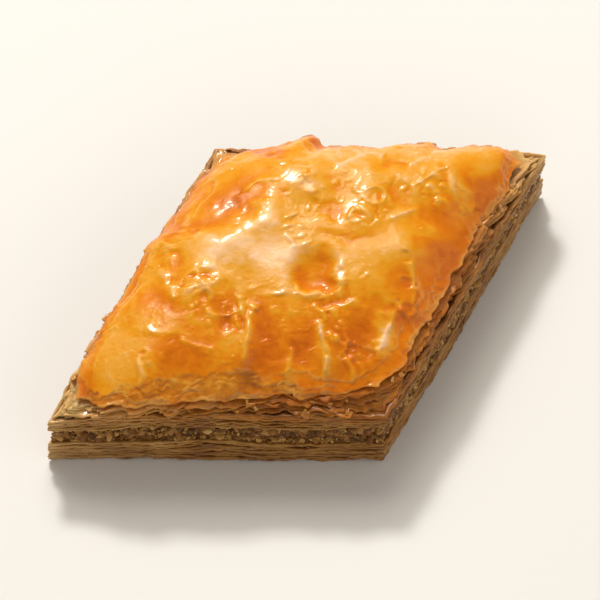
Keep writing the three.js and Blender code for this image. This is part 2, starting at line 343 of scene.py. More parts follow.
# --------------------------------------------------------------------------
# Mesh making
# --------------------------------------------------------------------------
class Shape:
    """Collects vertices (mm, in the plan above), faces and point attributes."""

    def __init__(self):
        self.v, self.f, self.flat, self.a, self.n = [], [], [], {}, 0

    def add(self, verts, **attrs):
        verts = np.asarray(verts, float).reshape(-1, 3)
        start = self.n
        for k, val in attrs.items():
            self.a.setdefault(k, []).append(
                (start, np.broadcast_to(np.asarray(val, float).reshape(-1), (len(verts),)))
            )
        self.v.append(verts)
        self.n += len(verts)
        return start + np.arange(len(verts))

    def faces(self, f, flat=False):
        f = np.asarray(f, np.int64)
        self.f.append(f)
        self.flat.append(np.full(len(f), flat))

    def band(self, low, high, flat=False):
        """Quads between two closed loops of the same length, facing out."""
        l2, h2 = np.roll(low, -1), np.roll(high, -1)
        self.faces(np.stack([low, l2, h2, high], -1), flat)

    def fan(self, loop, centre, faces_up, flat=True, **attrs):
        c = self.add([centre], **attrs)[0]
        nxt = np.roll(loop, -1)
        cc = np.full(len(loop), c)
        self.faces(np.stack([cc, loop, nxt] if faces_up else [cc, nxt, loop], -1), flat)

    def make(self, name):
        verts = np.concatenate(self.v)
        verts = (verts + [SHIFT_X, SHIFT_Y, 0]) * 0.001
        loops = np.concatenate([f.reshape(-1) for f in self.f])
        sizes = np.concatenate([np.full(len(f), f.shape[1]) for f in self.f])
        flat = np.concatenate(self.flat)
        me = bpy.data.meshes.new(name)
        me.vertices.add(len(verts))
        me.vertices.foreach_set("co", verts.astype(np.float32).ravel())
        me.loops.add(len(loops))
        me.loops.foreach_set("vertex_index", loops.astype(np.int32))
        me.polygons.add(len(sizes))
        starts = np.concatenate([[0], np.cumsum(sizes)[:-1]])
        me.polygons.foreach_set("loop_start", starts.astype(np.int32))
        me.polygons.foreach_set("use_smooth", ~flat)
        for k, chunks in self.a.items():
            full = np.zeros(self.n)
            for start, val in chunks:
                full[start : start + len(val)] = val
            at = me.attributes.new(k, "FLOAT", "POINT")
            at.data.foreach_set("value", full.astype(np.float32))
        me.update(calc_edges=True)
        me.validate()
        ob = bpy.data.objects.new(name, me)
        bpy.context.scene.collection.objects.link(ob)
        return ob


def finish_piece(ob, slot, material, *nodes):
    ob.data.materials.append(material)
    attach(ob, "root")
    if nodes:
        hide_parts(*nodes)
    return ob


def blur(a, r, times=2):
    """Box blur of a grid, repeated."""
    for _ in range(times):
        for ax in (0, 1):
            a = np.moveaxis(a, ax, 0)
            p = np.concatenate([np.repeat(a[:1], r, 0), a, np.repeat(a[-1:], r, 0)])
            c = np.concatenate([np.zeros_like(p[:1]), np.cumsum(p, 0)])
            a = (c[2 * r + 1 :] - c[: -2 * r - 1]) / (2 * r + 1)
            a = np.moveaxis(a, 0, ax)
    return a


def cubic(grid, s, t):
    """Catmull-Rom sampling of grid[row, column] at row t and column s."""
    rows, cols = grid.shape[:2]
    g = np.concatenate([2 * grid[:1] - grid[1:2], grid, 2 * grid[-1:] - grid[-2:-1]])
    g = np.concatenate([2 * g[:, :1] - g[:, 1:2], g, 2 * g[:, -1:] - g[:, -2:-1]], 1)

    def weights(k):
        return (
            0.5 * (-k + 2 * k * k - k**3), 0.5 * (2 - 5 * k * k + 3 * k**3),
            0.5 * (k + 4 * k * k - 3 * k**3), 0.5 * (-k * k + k**3),
        )

    i = np.clip(np.floor(t).astype(int), 0, rows - 2)
    j = np.clip(np.floor(s).astype(int), 0, cols - 2)
    wi, wj = weights(t - i), weights(s - j)
    out = 0
    for a in range(4):
        for b in range(4):
            w = wi[a] * wj[b]
            out = out + (w[..., None] if grid.ndim == 3 else w) * g[i + a, j + b]
    return out


# --------------------------------------------------------------------------
# The crust: a thin sheet that grew over its support, buckled and settled
# --------------------------------------------------------------------------
def settle(P, X, Y, S, growth_of, steps, kb, weight, seed):
    """Relaxes a grown sheet over its support; growth_of gives the strain along a direction."""
    P, X, Y, S = (a.astype(np.float32) for a in (P, X, Y, S))
    cut = np.s_
    pairs = [
        (cut[:, :-1], cut[:, 1:], 1.0), (cut[:-1, :], cut[1:, :], 1.0),
        (cut[:-1, :-1], cut[1:, 1:], 0.6), (cut[:-1, 1:], cut[1:, :-1], 0.6),
    ]
    rest = np.stack([X, Y, S], -1)
    lengths = []
    for a, b, _ in pairs:
        d = rest[b] - rest[a]
        flat = np.hypot(d[..., 0], d[..., 1]) + 1e-9
        grown = growth_of((X[a] + X[b]) / 2, (Y[a] + Y[b]) / 2, d[..., 0] / flat, d[..., 1] / flat)
        lengths.append((np.sqrt((d**2).sum(-1)) * (1 + grown)).astype(np.float32))
    glue = np.clip((fbm(X / 7.0, Y / 7.0, 0, seed + 9, 3) - 0.10) * 4, 0, 1)
    for p in POCKETS:
        glue = np.maximum(glue, min(1.0, p[4] + 0.2) * pocket(X, Y, p))
    glue = np.maximum(glue, bump(np.hypot(X - 2.3, Y + 3.8), 4.0)).astype(np.float32)
    speed = np.zeros_like(P)
    Xu, Xv = np.gradient(X, axis=1), np.gradient(X, axis=0)
    Yu, Yv = np.gradient(Y, axis=1), np.gradient(Y, axis=0)
    Su, Sv = np.gradient(S, axis=1), np.gradient(S, axis=0)
    det = Xu * Yv - Xv * Yu
    Sx, Sy = (Su * Yv - Sv * Yu) / det, (Sv * Xu - Su * Xv) / det
    dt = np.float32(0.33)
    for it in range(steps):
        F = np.zeros_like(P)
        for (a, b, k), l0 in zip(pairs, lengths):
            d = P[b] - P[a]
            ln = np.sqrt(np.einsum("ijk,ijk->ij", d, d))
            d *= (np.float32(k) * (1 - l0 / ln))[..., None]
            F[a] += d
            F[b] -= d
        b = np.float32(kb) * (P[:-2] - 2 * P[1:-1] + P[2:])
        F[:-2] -= b
        F[1:-1] += 2 * b
        F[2:] -= b
        b = np.float32(kb) * (P[:, :-2] - 2 * P[:, 1:-1] + P[:, 2:])
        F[:, :-2] -= b
        F[:, 1:-1] += 2 * b
        F[:, 2:] -= b
        dx, dy = P[..., 0] - X, P[..., 1] - Y
        over = P[..., 2] - (S + Sx * dx + Sy * dy)
        F[..., 2] += np.where(over < 0, -0.8 * over, 0)
        F[..., 2] -= weight + glue * 0.06 * np.clip(over, -0.5, 1.5)
        hold = 0.01 + 0.08 * glue
        F[..., 0] -= hold * dx
        F[..., 1] -= hold * dy
        speed = (speed + dt * F) * np.float32(0.97 if it < steps * 0.7 else 0.93)
        P = P + dt * speed
    return P.astype(float)


# crumpled places: centre, radius, strength; calm places: centre, half sizes
CRUMPLED = [
    (-18.6, -6.8, 3.4, 1.0), (12.6, 10.6, 4.0, 0.6), (1.5, 19.5, 2.6, 0.4), (3.0, -9.5, 4.5, 0.8),
    (9.5, -18.0, 4.0, 1.0), (-12.5, -12.5, 3.5, 0.9), (22.0, -4.0, 4.0, 0.7), (28.0, 20.0, 3.5, 0.6),
    (-25.0, 3.5, 3.0, 0.6),
]
CALM = [
    (-27, -16, 9, 6), (-9, 0, 10.5, 6), (19, 4, 9, 9), (-12, 16, 8, 6), (10, 21.5, 10, 3), (33, 20, 5, 4),
    (0.5, 14.5, 3.0, 3.6), (10, 1.5, 6, 4), (-17, 9, 7, 4),
]


def calm_of(x, y):
    """1 in the calm places, 0 elsewhere."""
    c = 0
    for cx, cy, rx, ry in CALM:
        c = np.maximum(c, bump(np.hypot((x - cx) / rx, (y - cy) / ry), 1.0))
    return c


def growth_field(iso, around):
    """Strain of the sheet: iso everywhere, around along the rim, which makes pleats down it."""

    def strain(x, y, dx, dy):
        u, v = uv_of(x, y, CRUST)
        e = 0.004

        def f(a, b):
            return fill_of(np.clip(a, 0, 1), np.clip(b, 0, 1))

        fu, fv = (f(u + e, v) - f(u - e, v)) / (2 * e * SIDE), (f(u, v + e) - f(u, v - e)) / (2 * e * DEPTH)
        gx, gy = fu, fv - fu * LEAN / DEPTH
        size = np.hypot(gx, gy) + 1e-6
        m = size / (size + 0.02)
        cross = (dx * gy - dy * gx) / size
        rough = np.clip(2.6 * fbm(x / 7.5, y / 7.5, 0, 53, 3) - 0.15, 0, 1)
        for cx, cy, r, k in CRUMPLED:
            rough = np.maximum(rough, k * bump(np.hypot(x - cx, y - cy), r))
        for cx, cy, rx, ry in CALM:
            rough = rough * (1 - 0.85 * bump(np.hypot((x - cx) / rx, (y - cy) / ry), 1.0))
        front = 0.20 + 0.55 * smooth(-8, -15, y) * bump(x - 3, 22)
        slow = np.clip(0.45 + 1.1 * fbm(x / 6, y / 6, 3.0, 57, 3), 0.0, 1.5)
        return iso * (0.10 + 1.35 * rough) + around * front * m * cross**2 * slow

    return strain


def grow_sheet():
    P = None
    stages = (
        # cells across, cells deep, steps, growth, pleat growth, bending, weight, start roughness
        (96, 100, 1100, 0.016, 0.026, 0.10, 0.0008, 0.20),
        (192, 200, 560, 0.028, 0.044, 0.05, 0.0004, 0.05),
        (288, 300, 260, 0.038, 0.058, 0.04, 0.0003, 0.02),
    )
    for n, (nu, nv, steps, iso, around, kb, weight, rough) in enumerate(stages):
        U, V = np.meshgrid(np.linspace(0, 1, nu + 1), np.linspace(0, 1, nv + 1))
        X, Y = plan(U, V, CRUST)
        S = crown(U, V) - 0.45 * fill_of(U, V)
        if P is None:
            P = np.stack([X, Y, S + 0.15], -1)
        else:
            P = cubic(P, U * (P.shape[1] - 1), V * (P.shape[0] - 1))
        P[..., 2] += rough * fbm(X / (3.0 / (n + 1)), Y / (3.0 / (n + 1)), 0, 23 + n, 2)
        P = settle(P, X, Y, S, growth_field(iso, around), steps, kb, weight, 3)
    return P, S


def jag(s, seed, amp, fine=0.25):
    """Torn-edge outline along a side: how far the tear reaches in, in mm."""
    saw = 0
    for k, (f, w) in enumerate([(9.0, 1.0), (17.0, 0.6), (31.0, 0.35)]):
        ph = s * f + 3.7 * seed + k
        n = noise3(np.floor(ph) * 7.13, seed * 1.7 + k, 0, 77)
        frac = ph - np.floor(ph)
        peak = 0.25 + 0.5 * (n * 0.5 + 0.5)
        tri = np.where(frac < peak, frac / peak, (1 - frac) / (1 - peak))
        saw = saw + w * tri * (0.5 + 0.5 * n)
    return np.clip(amp * (0.9 - saw * 0.9), 0, None) + fine * (
        0.5 + 0.5 * noise3(s * 90, seed * 3.3, 0, 78)
    )


SHEET, SUPPORT = grow_sheet()
CU, CV, COARSE = 288, 300, 4

# popped blisters: centre, radius, rim height
RINGS = [
    (13.7, 12.7, 1.9, 0.26), (10.5, 8.2, 1.7, 0.24), (1.0, 17.6, 1.5, 0.22), (-18.2, -8.6, 1.5, 0.2),
    (-13.6, -11.2, 1.1, 0.16), (26.5, 20.2, 1.3, 0.14), (4.6, -12.0, 0.9, 0.13), (8.8, -18.0, 1.2, 0.2),
    (-20.4, -4.2, 1.3, 0.18), (19.0, -4.6, 1.0, 0.12), (-5.5, 23.0, 1.2, 0.14), (-29.5, -19.0, 0.9, 0.10),
]

CLUSTERS = [(-18.5, -6.0, 2.6), (13, 10, 3.0), (2.0, 17.0, 2.4), (6, -14, 3.0), (-26, -14, 3.4), (24, 14, 3.0)]


# places where the top leaf broke away: centre, half sizes
FLAKED = [
    (-18.8, -5.2, 3.4, 1.5), (12.8, 9.6, 2.3, 3.0), (6.2, -7.8, 2.4, 1.5), (21.5, -8.0, 1.4, 3.2),
    (-1.0, 19.8, 2.6, 1.4), (10.0, -19.0, 2.2, 1.3), (-22.5, 5.0, 3.6, 1.3),
]

# sharp folds of the top leaf: path, half width, height
CREASES = [
    ([(-9.0, -10.6), (-9.9, -14.5), (-10.8, -21.0)], 0.55, 0.42),
    ([(3.2, -13.0), (4.2, -17.5), (3.8, -26.0)], 0.50, 0.36),
    ([(-2.6, -16.0), (-2.2, -20.0), (-3.0, -25.5)], 0.45, 0.26),
    ([(17.6, -9.0), (15.8, -13.0), (13.4, -18.5)], 0.60, 0.42),
    ([(-3.2, -8.6), (-7.6, -9.8), (-13.6, -12.4), (-19.0, -12.0)], 0.60, 0.30),
    ([(9.6, -9.4), (7.2, -12.4), (5.9, -17.0)], 0.50, 0.32),
    ([(18.8, 1.0), (20.6, -4.5), (20.0, -10.5)], 0.55, 0.34),
    ([(-27.2, 3.4), (-25.2, -2.5), (-23.4, -7.6)], 0.55, 0.30),
    ([(-11.2, 13.8), (-8.0, 15.6), (-4.2, 16.0)], 0.50, 0.24),
    ([(17.4, 8.0), (22.4, 11.6), (27.0, 12.4)], 0.55, 0.30),
    ([(-29.0, -14.0), (-24.0, -16.8), (-17.0, -18.6)], 0.50, 0.22),
    ([(6.8, 19.0), (12.4, 22.6), (19.6, 22.0)], 0.55, 0.22),
    ([(28.0, 16.4), (32.4, 13.0), (33.6, 8.0)], 0.50, 0.26),
    ([(-14.5, 21.0), (-10.0, 25.2), (-5.2, 26.4)], 0.50, 0.24),
    ([(5.0, 24.6), (10.6, 26.8), (17.6, 25.8)], 0.50, 0.22),
    ([(21.4, 20.4), (25.4, 24.0), (30.6, 25.6)], 0.50, 0.24),
    ([(-24.4, 0.4), (-22.6, 4.6), (-20.8, 9.8)], 0.45, 0.18),
]

# small level spots that catch the light: centre, half sizes, turn, strength
FACETS = [
    (-0.6, 17.4, 2.3, 1.8, 0.3, 0.85), (1.8, 13.8, 2.4, 1.1, -0.9, 0.8), (13.7, 11.6, 0.9, 1.9, -0.2, 0.8),
    (10.0, 7.2, 1.1, 0.7, 0.0, 0.7), (7.0, -4.3, 1.3, 1.6, 0.4, 0.92), (-1.3, -6.6, 0.9, 1.3, 0.0, 0.88),
    (3.4, -8.8, 0.8, 0.5, 0.0, 0.7), (18.0, -9.6, 0.7, 1.4, 0.5, 0.7), (8.4, -19.8, 0.9, 0.8, 0.0, 0.75),
    (-18.9, 4.2, 2.4, 0.9, 0.1, 0.3), (13.6, 20.8, 0.8, 0.6, 0.0, 0.6),
    (22.8, 18.4, 0.7, 0.5, 0.0, 0.6), (-9.9, -13.6, 0.5, 0.9, 0.1, 0.6), (-17.7, -12.5, 0.5, 0.4, 0.0, 0.6),
    (-19.5, -5.0, 0.8, 0.5, 0.3, 0.6), (-14.4, -9.6, 0.6, 0.4, 0.0, 0.6), (11.2, -4.5, 0.9, 0.5, 0.2, 0.5),
]

# places where the leaf is lifted clear of the syrup and paler, with painted sheen laid on them; a negative strength
# darkens instead, as painted shade on the back-left slope: centre, half sizes, strength
LIFTED_AND_SHEEN = [
    (-8.0, 1.0, 9.5, 5.5, 0.40), (-0.6, 12.0, 3.6, 6.0, 0.18), (15.0, 20.5, 9.0, 3.0, 0.08),
    (11.5, 3.0, 4.5, 6.0, 0.05), (-31.0, -21.0, 5.0, 4.0, 0.08), (-10.0, -7.5, 6.0, 2.0, 0.10),
    (3.6, -16.5, 1.0, 4.0, 0.2), (-11.6, -17.0, 0.9, 4.0, 0.18), (15.2, -15.0, 1.0, 4.0, 0.18),
    (7.5, 12.5, 4.5, 5.0, 0.24), (29.5, 14.5, 3.5, 3.5, 0.11), (23.0, 13.0, 6.0, 6.0, 0.10),
    (-13.0, 20.0, 5.0, 3.0, -0.06),
]


def toasted(X, Y, u, v):
    """The front border where the top leaf tore back: how bare, and the distance from the tear."""
    reach = through(
        [(0, 0.5), (0.06, 1.6), (0.16, 3.6), (0.36, 4.9), (0.52, 4.7), (0.64, 3.2), (0.74, 1.5), (0.9, 1.0), (1, 0.6)], u
    )
    line = v * DEPTH - reach - 1.5 * fbm(X / 3.2, Y / 3.2, 1.0, 443, 3) - 0.35 * noise3(X / 0.8, Y / 0.8, 2.0, 449)
    return 1 - smooth(-0.45, 0.45, line), line


def fine_relief(X, Y, Z, lift, edge, u, v):
    """Small relief on the sheet: blisters, thin creases and torn borders of single leaves."""
    out = np.zeros_like(Z)
    calm = calm_of(X, Y)
    rng = np.random.RandomState(12)
    for n, (cx, cy, r, h) in enumerate(RINGS):
        wob = 0.35 * r * fbm(X / (r * 1.3), Y / (r * 1.3), n * 3.0, 431, 2)
        d = np.hypot(X - cx, (Y - cy) * 1.12) + wob
        turn = np.arctan2(Y - cy, X - cx)
        part = 0.35 + 0.65 * smooth(-0.4, 0.5, np.cos(turn - 2.2 * n - 0.8) + 0.4 * np.cos(2 * turn + n))
        out += 0.95 * h * part * bump(d - r, 0.36 * r**0.5) - 0.8 * h * bump(d, r * 0.75)
    cell = SIDE / CU
    for n in range(360):
        i, j = rng.randint(5, CV - 5), rng.randint(5, CU - 5)
        if n < 90:
            cx, cy, spread = CLUSTERS[n % len(CLUSTERS)]
            tu, tv = uv_of(cx + spread * rng.normal(), cy + spread * rng.normal(), CRUST)
            i, j = int(np.clip(tv * CV, 5, CV - 5)), int(np.clip(tu * CU, 5, CU - 5))
        r = 0.22 + 0.50 * rng.rand() ** 2.0
        height = r * (0.14 + 0.16 * rng.rand())
        dimple = rng.rand() < 0.15
        sx, sy, ph = 0.7 + 0.6 * rng.rand(), 0.7 + 0.6 * rng.rand(), rng.rand() * 3.1
        if n >= 90 and (fbm(X[i, j] / 8, Y[i, j] / 8, 2.0, 433, 2) < 0.02 or calm[i, j] > 0.35):
            continue
        k = int(r * 2.4 / cell) + 1
        i0, i1, j0, j1 = max(0, i - k), min(CV + 1, i + k + 1), max(0, j - k), min(CU + 1, j + k + 1)
        ex, ey = X[i0:i1, j0:j1] - X[i, j], Y[i0:i1, j0:j1] - Y[i, j]
        a, b = ex * np.cos(ph) + ey * np.sin(ph), ey * np.cos(ph) - ex * np.sin(ph)
        d = np.hypot(a * sx, b * sy)
        shape = np.clip(1 - (d / (r * 1.25)) ** 2, 0, 1) ** 1.5
        if dimple:
            shape = shape - 0.8 * bump(d, r * 0.4)
        out[i0:i1, j0:j1] += height * shape
    # thin curling wrinkles, in patches
    wx = X + 1.5 * fbm(X / 4.5, Y / 4.5, 0, 401, 3)
    wy = Y + 1.5 * fbm(X / 4.5, Y / 4.5, 7, 403, 3)
    for f, seed, amp, cut in ((3.4, 405, 0.10, 0.05), (2.0, 415, 0.09, 0.00), (5.2, 425, 0.10, 0.15)):
        line = np.abs(noise3(wx / f, wy / f, 0, seed)) * f
        here = smooth(cut, cut + 0.3, fbm(X / 6.5, Y / 6.5, seed * 0.1, 431, 2))
        here = here * smooth(-0.15, 0.25, noise3(X / 1.7, Y / 1.7, seed, 433)) * (1 - 0.85 * calm)
        out += amp * here * np.exp(-((line / 0.24) ** 1.6))
    low = smooth(6, 1.5, v * DEPTH)
    side = smooth(5, 1.5, np.minimum(u, 1 - u) * SIDE * SLANT)
    a = X - Y * LEAN / DEPTH
    down = smooth(-0.1, 0.35, fbm(X / 5, Y / 5, 12.0, 437, 2))
    out += 0.07 * np.clip(ridged((X + wx) / 4.4, wy / 7.5, 0, 405, 2) - 0.30, 0, 1) * low * down
    out += 0.06 * np.clip(ridged((a + wx) / 13.0, wy / 2.4, 0, 415, 2) - 0.30, 0, 1) * side * down
    out += 0.016 * fbm(X / 0.8, Y / 0.8, 0, 411, 2) * (1 - 0.6 * calm)
    # small crinkles of a dried leaf, in the crumpled places
    patch = smooth(0.02, 0.32, fbm(X / 5.5, Y / 5.5, 21.0, 435, 3))
    patch = np.maximum(patch, 0.24 + 0.32 * smooth(20, 26, Y))
    for cx, cy, r, k in CRUMPLED:
        patch = np.maximum(patch, k * bump(np.hypot(X - cx, Y - cy), r))
    toast, tear = toasted(X, Y, u, v)
    kx = X + 0.9 * fbm(X / 1.9, Y / 1.9, 0, 481, 2)
    ky = Y + 0.9 * fbm(X / 1.9, Y / 1.9, 5, 483, 2)
    crinkle = np.clip(ridged(kx / 1.9, ky / 1.5, 0, 485, 2) - 0.1, 0, 1) ** 1.3
    out += 0.085 * patch * (1 - 0.85 * calm) * crinkle
    small = np.clip(ridged(kx / 2.9, ky / 0.95, 4.0, 489, 2) - 0.1, 0, 1)
    out += toast * (0.19 * small + 0.09 * fbm(X / 1.6, Y / 0.9, 9.0, 487, 2) - 0.15)
    folds = np.zeros_like(Z)
    fx = X + 0.9 * fbm(X / 2.6, Y / 2.6, 31.0, 501, 3)
    fy = Y + 0.9 * fbm(X / 2.6, Y / 2.6, 37.0, 503, 3)
    for n, (path, w, h) in enumerate(CREASES):
        d = path_dist(fx, fy, path)
        along = smooth(-0.45, 0.25, noise3(X / 2.4, Y / 2.4, 3.0 * n, 505))
        fold = along * np.exp(-((d / w) ** 1.2))
        out += h * (fold + 0.5 * along * bump(d, 3.2 * w))
        folds = np.maximum(folds, fold * h / 0.42)
    # borders of single leaves torn back from the edge
    rims = 0.7 * smooth(-0.3, 0.3, noise3(X / 2.2, Y / 2.2, 6.0, 445)) * bump(tear - 0.2, 0.26)
    bare = np.zeros_like(Z)
    for n, (cx, cy, rx, ry) in enumerate(FLAKED):
        ex = X - cx + 1.6 * fbm(X / 3.2, Y / 3.2, 2.0 * n, 471, 2)
        ey = Y - cy + 1.6 * fbm(X / 3.2, Y / 3.2, 2.0 * n + 50, 473, 2)
        line = (np.hypot(ex / rx, ey / ry) - 1) * min(rx, ry) + 0.30 * noise3(X / 0.7, Y / 0.7, n, 475)
        inside = 1 - smooth(-0.15, 0.15, line)
        out -= 0.11 * inside
        bare = np.maximum(bare, inside)
        some = smooth(-0.2, 0.3, noise3(X / 1.6, Y / 1.6, n + 3, 477))
        rims = np.maximum(rims, some * bump(line - 0.12, 0.20))
    for n, (reach, spread, depth, f) in enumerate(
        [(1.3, 1.5, 0.15, 5.0), (3.6, 2.6, 0.13, 7.5), (0.6, 0.5, 0.13, 3.0), (2.1, 1.3, 0.12, 4.0)]
    ):
        line = edge - reach - spread * fbm(X / f, Y / f, 4.0 * n, 441, 2) - 0.35 * noise3(
            X / 0.9, Y / 0.9, n, 447
        )
        here = smooth(0.0, 0.25, fbm(X / 12, Y / 12, 9.0 * n + 2, 451, 2) + 0.12)
        out -= depth * here * (1 - smooth(-0.16, 0.16, line))
        rims = np.maximum(rims, here * bump(line - 0.1, 0.28))
    return out, rims, bare, folds, toast


def make_crust():
    u, v = np.meshgrid(np.linspace(0, 1, CU + 1), np.linspace(0, 1, CV + 1))
    # the sheet is cut along a torn outline
    f0 = jag(u, 1, 0.9) / DEPTH
    b0 = jag(u, 2, 1.1) / DEPTH
    l0 = jag(v, 3, 0.8) / SIDE
    r0 = jag(v, 4, 1.0) / SIDE
    vs = lerp(f0, 1 - b0, v)
    us = lerp(l0, 1 - r0, u)
    P = cubic(SHEET, us * (SHEET.shape[1] - 1), vs * (SHEET.shape[0] - 1))
    S = cubic(SUPPORT, us * (SUPPORT.shape[1] - 1), vs * (SUPPORT.shape[0] - 1))
    X, Y, Z = P[..., 0], P[..., 1], P[..., 2]
    lift = Z - S
    edge = np.minimum(np.minimum(u, 1 - u) * SIDE * SLANT, np.minimum(v, 1 - v) * DEPTH)

    def normals(P):
        N = np.cross(np.gradient(P, axis=1), np.gradient(P, axis=0))
        return N / np.linalg.norm(N, axis=-1, keepdims=True)

    N = normals(P)
    relief_mm, rims, bare, folds, toast = fine_relief(X, Y, Z, lift, edge, u, v)
    P = P + N * relief_mm[..., None]
    for cx, cy, ra, rb, turn, k in FACETS:
        ex, ey = P[..., 0] - cx, P[..., 1] - cy
        a, b = ex * math.cos(turn) + ey * math.sin(turn), ey * math.cos(turn) - ex * math.sin(turn)
        d = np.hypot(a / ra, b / rb) + 0.35 * noise3(X / 0.9, Y / 0.9, cx, 491)
        m = k * np.exp(-(np.clip(d, 0, None) ** 4))
        level = (0.134 + 0.00102 * cx) * ex + (0.00077 * cy - 0.0958) * ey
        flat = level + (m * (P[..., 2] - level)).sum() / m.sum()
        P[..., 2] = lerp(P[..., 2], flat, m)
    N = normals(P)

    # tone: 0 in deep, soaked hollows, 1 on dry, lifted crests; the hollows' darkening is partly the soaked leaf's
    # own colour and partly painted shade
    Z = P[..., 2]
    z0 = SHEET[..., 2]

    def above(r):
        d = cubic(z0 - blur(z0, r), us * (SHEET.shape[1] - 1), vs * (SHEET.shape[0] - 1))
        return d + relief_mm - blur(relief_mm, r)

    tiny, small, wide = above(3), above(7), above(20)
    tone = (
        0.55 + 0.05 * np.clip(tiny / 0.06, -1, 1) + 0.09 * np.clip(small / 0.20, -1, 1)
        + 0.15 * np.clip(wide / 0.7, -1, 1) + 0.05 * np.clip(lift / 1.0, 0, 1)
        + 0.20 * fbm(X / 8, Y / 8, 0, 421, 4)
    )
    px = X + 2.4 * fbm(X / 3.6, Y / 3.6, 0, 461, 4)
    py = Y + 2.4 * fbm(X / 3.6, Y / 3.6, 5, 463, 4)
    for p in POCKETS:
        wide_p = (p[0], p[1], p[2] * 1.2, p[3] * 1.2)
        tone = tone - 0.40 * p[5] * pocket(px, py, wide_p, 1.6)
    tone = np.minimum(tone, 0.80)
    # paler lifted leaf together with painted sheen, raising the tone past its cap
    for cx, cy, rx, ry, k in LIFTED_AND_SHEEN:
        tone = tone + k * np.exp(-(np.hypot((px - cx) / rx, (py - cy) / ry) ** 2))
    tone = tone - 0.05 * bare + 0.22 * folds
    # painted shade: slopes that face the front and slopes that face the right, away from the light, are darkened in
    # patches
    shaded_front_slope = -blur(N[..., 1], 8)
    right = blur(N[..., 0], 8)
    blotch = 0.5 + 0.9 * fbm(X / 5, Y / 5, 3.0, 423, 3)
    tone = tone - 1.05 * np.clip(shaded_front_slope - 0.08, 0, 0.5) * np.clip(blotch + 0.15, 0.1, 1.2)
    tone = tone - 1.10 * np.clip(right - 0.10, 0, 0.5) * np.clip(blotch + 0.3, 0.2, 1.2)
    tone = tone - 0.28 * smooth(3.8, 0.6, v * DEPTH) * np.clip(blotch + 0.3, 0, 1)
    # the toasted border is lighter; on top of that its raised crinkles are lightened and its low ones darkened as
    # painted highlight and painted shade
    tone = tone + toast * (0.10 + np.clip((relief_mm - blur(relief_mm, 4)) / 0.08, -1, 1) * 0.10)
    tone = tone - 0.12 * bump(edge, 1.3) * np.clip(blotch + 0.3, 0, 1)
    for cx, cy, r, _h in RINGS:
        tone = tone - 0.16 * bump(np.hypot(X - cx, Y - cy), r * 0.6)
    # the darkest places keep some of their variation
    tone = np.where(tone < 0.22, 0.22 - 0.12 * (1 - np.exp(-(0.22 - tone) / 0.16)), tone)
    pale = np.clip(bump(edge, 0.55) + 0.8 * rims, 0, 1)

    sh = Shape()
    top = sh.add(P, tone=tone, pale=pale, toast=toast)
    top = top.reshape(CV + 1, CU + 1)
    sh.faces(
        np.stack([top[:-1, :-1], top[:-1, 1:], top[1:, 1:], top[1:, :-1]], -1).reshape(-1, 4)
    )
    # underside: every fourth point, under the lowest point near it
    low_z = Z.copy()
    for _ in range(COARSE):
        p = np.pad(low_z, 1, mode="edge")
        low_z = np.minimum.reduce([p[1:-1, 1:-1], p[:-2, 1:-1], p[2:, 1:-1], p[1:-1, :-2], p[1:-1, 2:]])
    low_P = (P - N * 0.24)[::COARSE, ::COARSE]
    low_P[..., 2] = np.minimum(low_P[..., 2], low_z[::COARSE, ::COARSE] - 0.20)
    low = sh.add(
        low_P, tone=tone[::COARSE, ::COARSE], pale=1 + 0 * low_P[..., 0], toast=0.0
    ).reshape(CV // COARSE + 1, CU // COARSE + 1)
    sh.faces(
        np.stack([low[:-1, :-1], low[1:, :-1], low[1:, 1:], low[:-1, 1:]], -1).reshape(-1, 4)
    )

    def loop(a):
        return np.concatenate([a[0, :-1], a[:-1, -1], a[-1, :0:-1], a[:0:-1, 0]])

    hi, lo = loop(top), loop(low)
    i = np.arange(len(lo))
    a, b = lo[i], lo[(i + 1) % len(lo)]
    h = [hi[(COARSE * i + q) % len(hi)] for q in range(COARSE + 1)]
    mid = COARSE // 2
    for q in range(COARSE):
        sh.faces(np.stack([a if q < mid else b, h[q + 1], h[q]], -1))
    sh.faces(np.stack([a, b, h[mid]], -1))
    return sh.make("crust_sheet")


# --------------------------------------------------------------------------
# Cut sides: stacks of thin leaves pressed together and soaked
# --------------------------------------------------------------------------
PER_SIDE = 200


def base_line(x, y):
    """Height at the cut where the lower leaves end and the nuts begin."""
    return base_top(x, y) + 0.45 * fbm(x / 5, y / 5, 1.0, 901, 3) + 0.15


def nut_line(x, y):
    return nut_top(x, y) + 0.50 * fbm(x / 4.5, y / 4.5, 2.0, 911, 3) - 0.1


def wall(sh, u, v, rows, z_low, z_high, outline, relief_of, **attrs):
    """Rows of points up a cut side, from the outline inwards by relief_of."""
    ids = []
    for r in range(rows + 1):
        t = r / rows
        ins, extra = outline(t)
        x, y = plan(u, v, ins, extra)
        z = lerp(z_low(x, y), z_high(x, y), t)
        d, g = relief_of(x, y, z, t)
        x, y = plan(u, v, ins, extra + d)
        ids.append(sh.add(np.stack([x, y, z], -1), groove=g, up=t, **attrs))
    for a, b in zip(ids[:-1], ids[1:]):
        sh.band(a, b)
    return ids


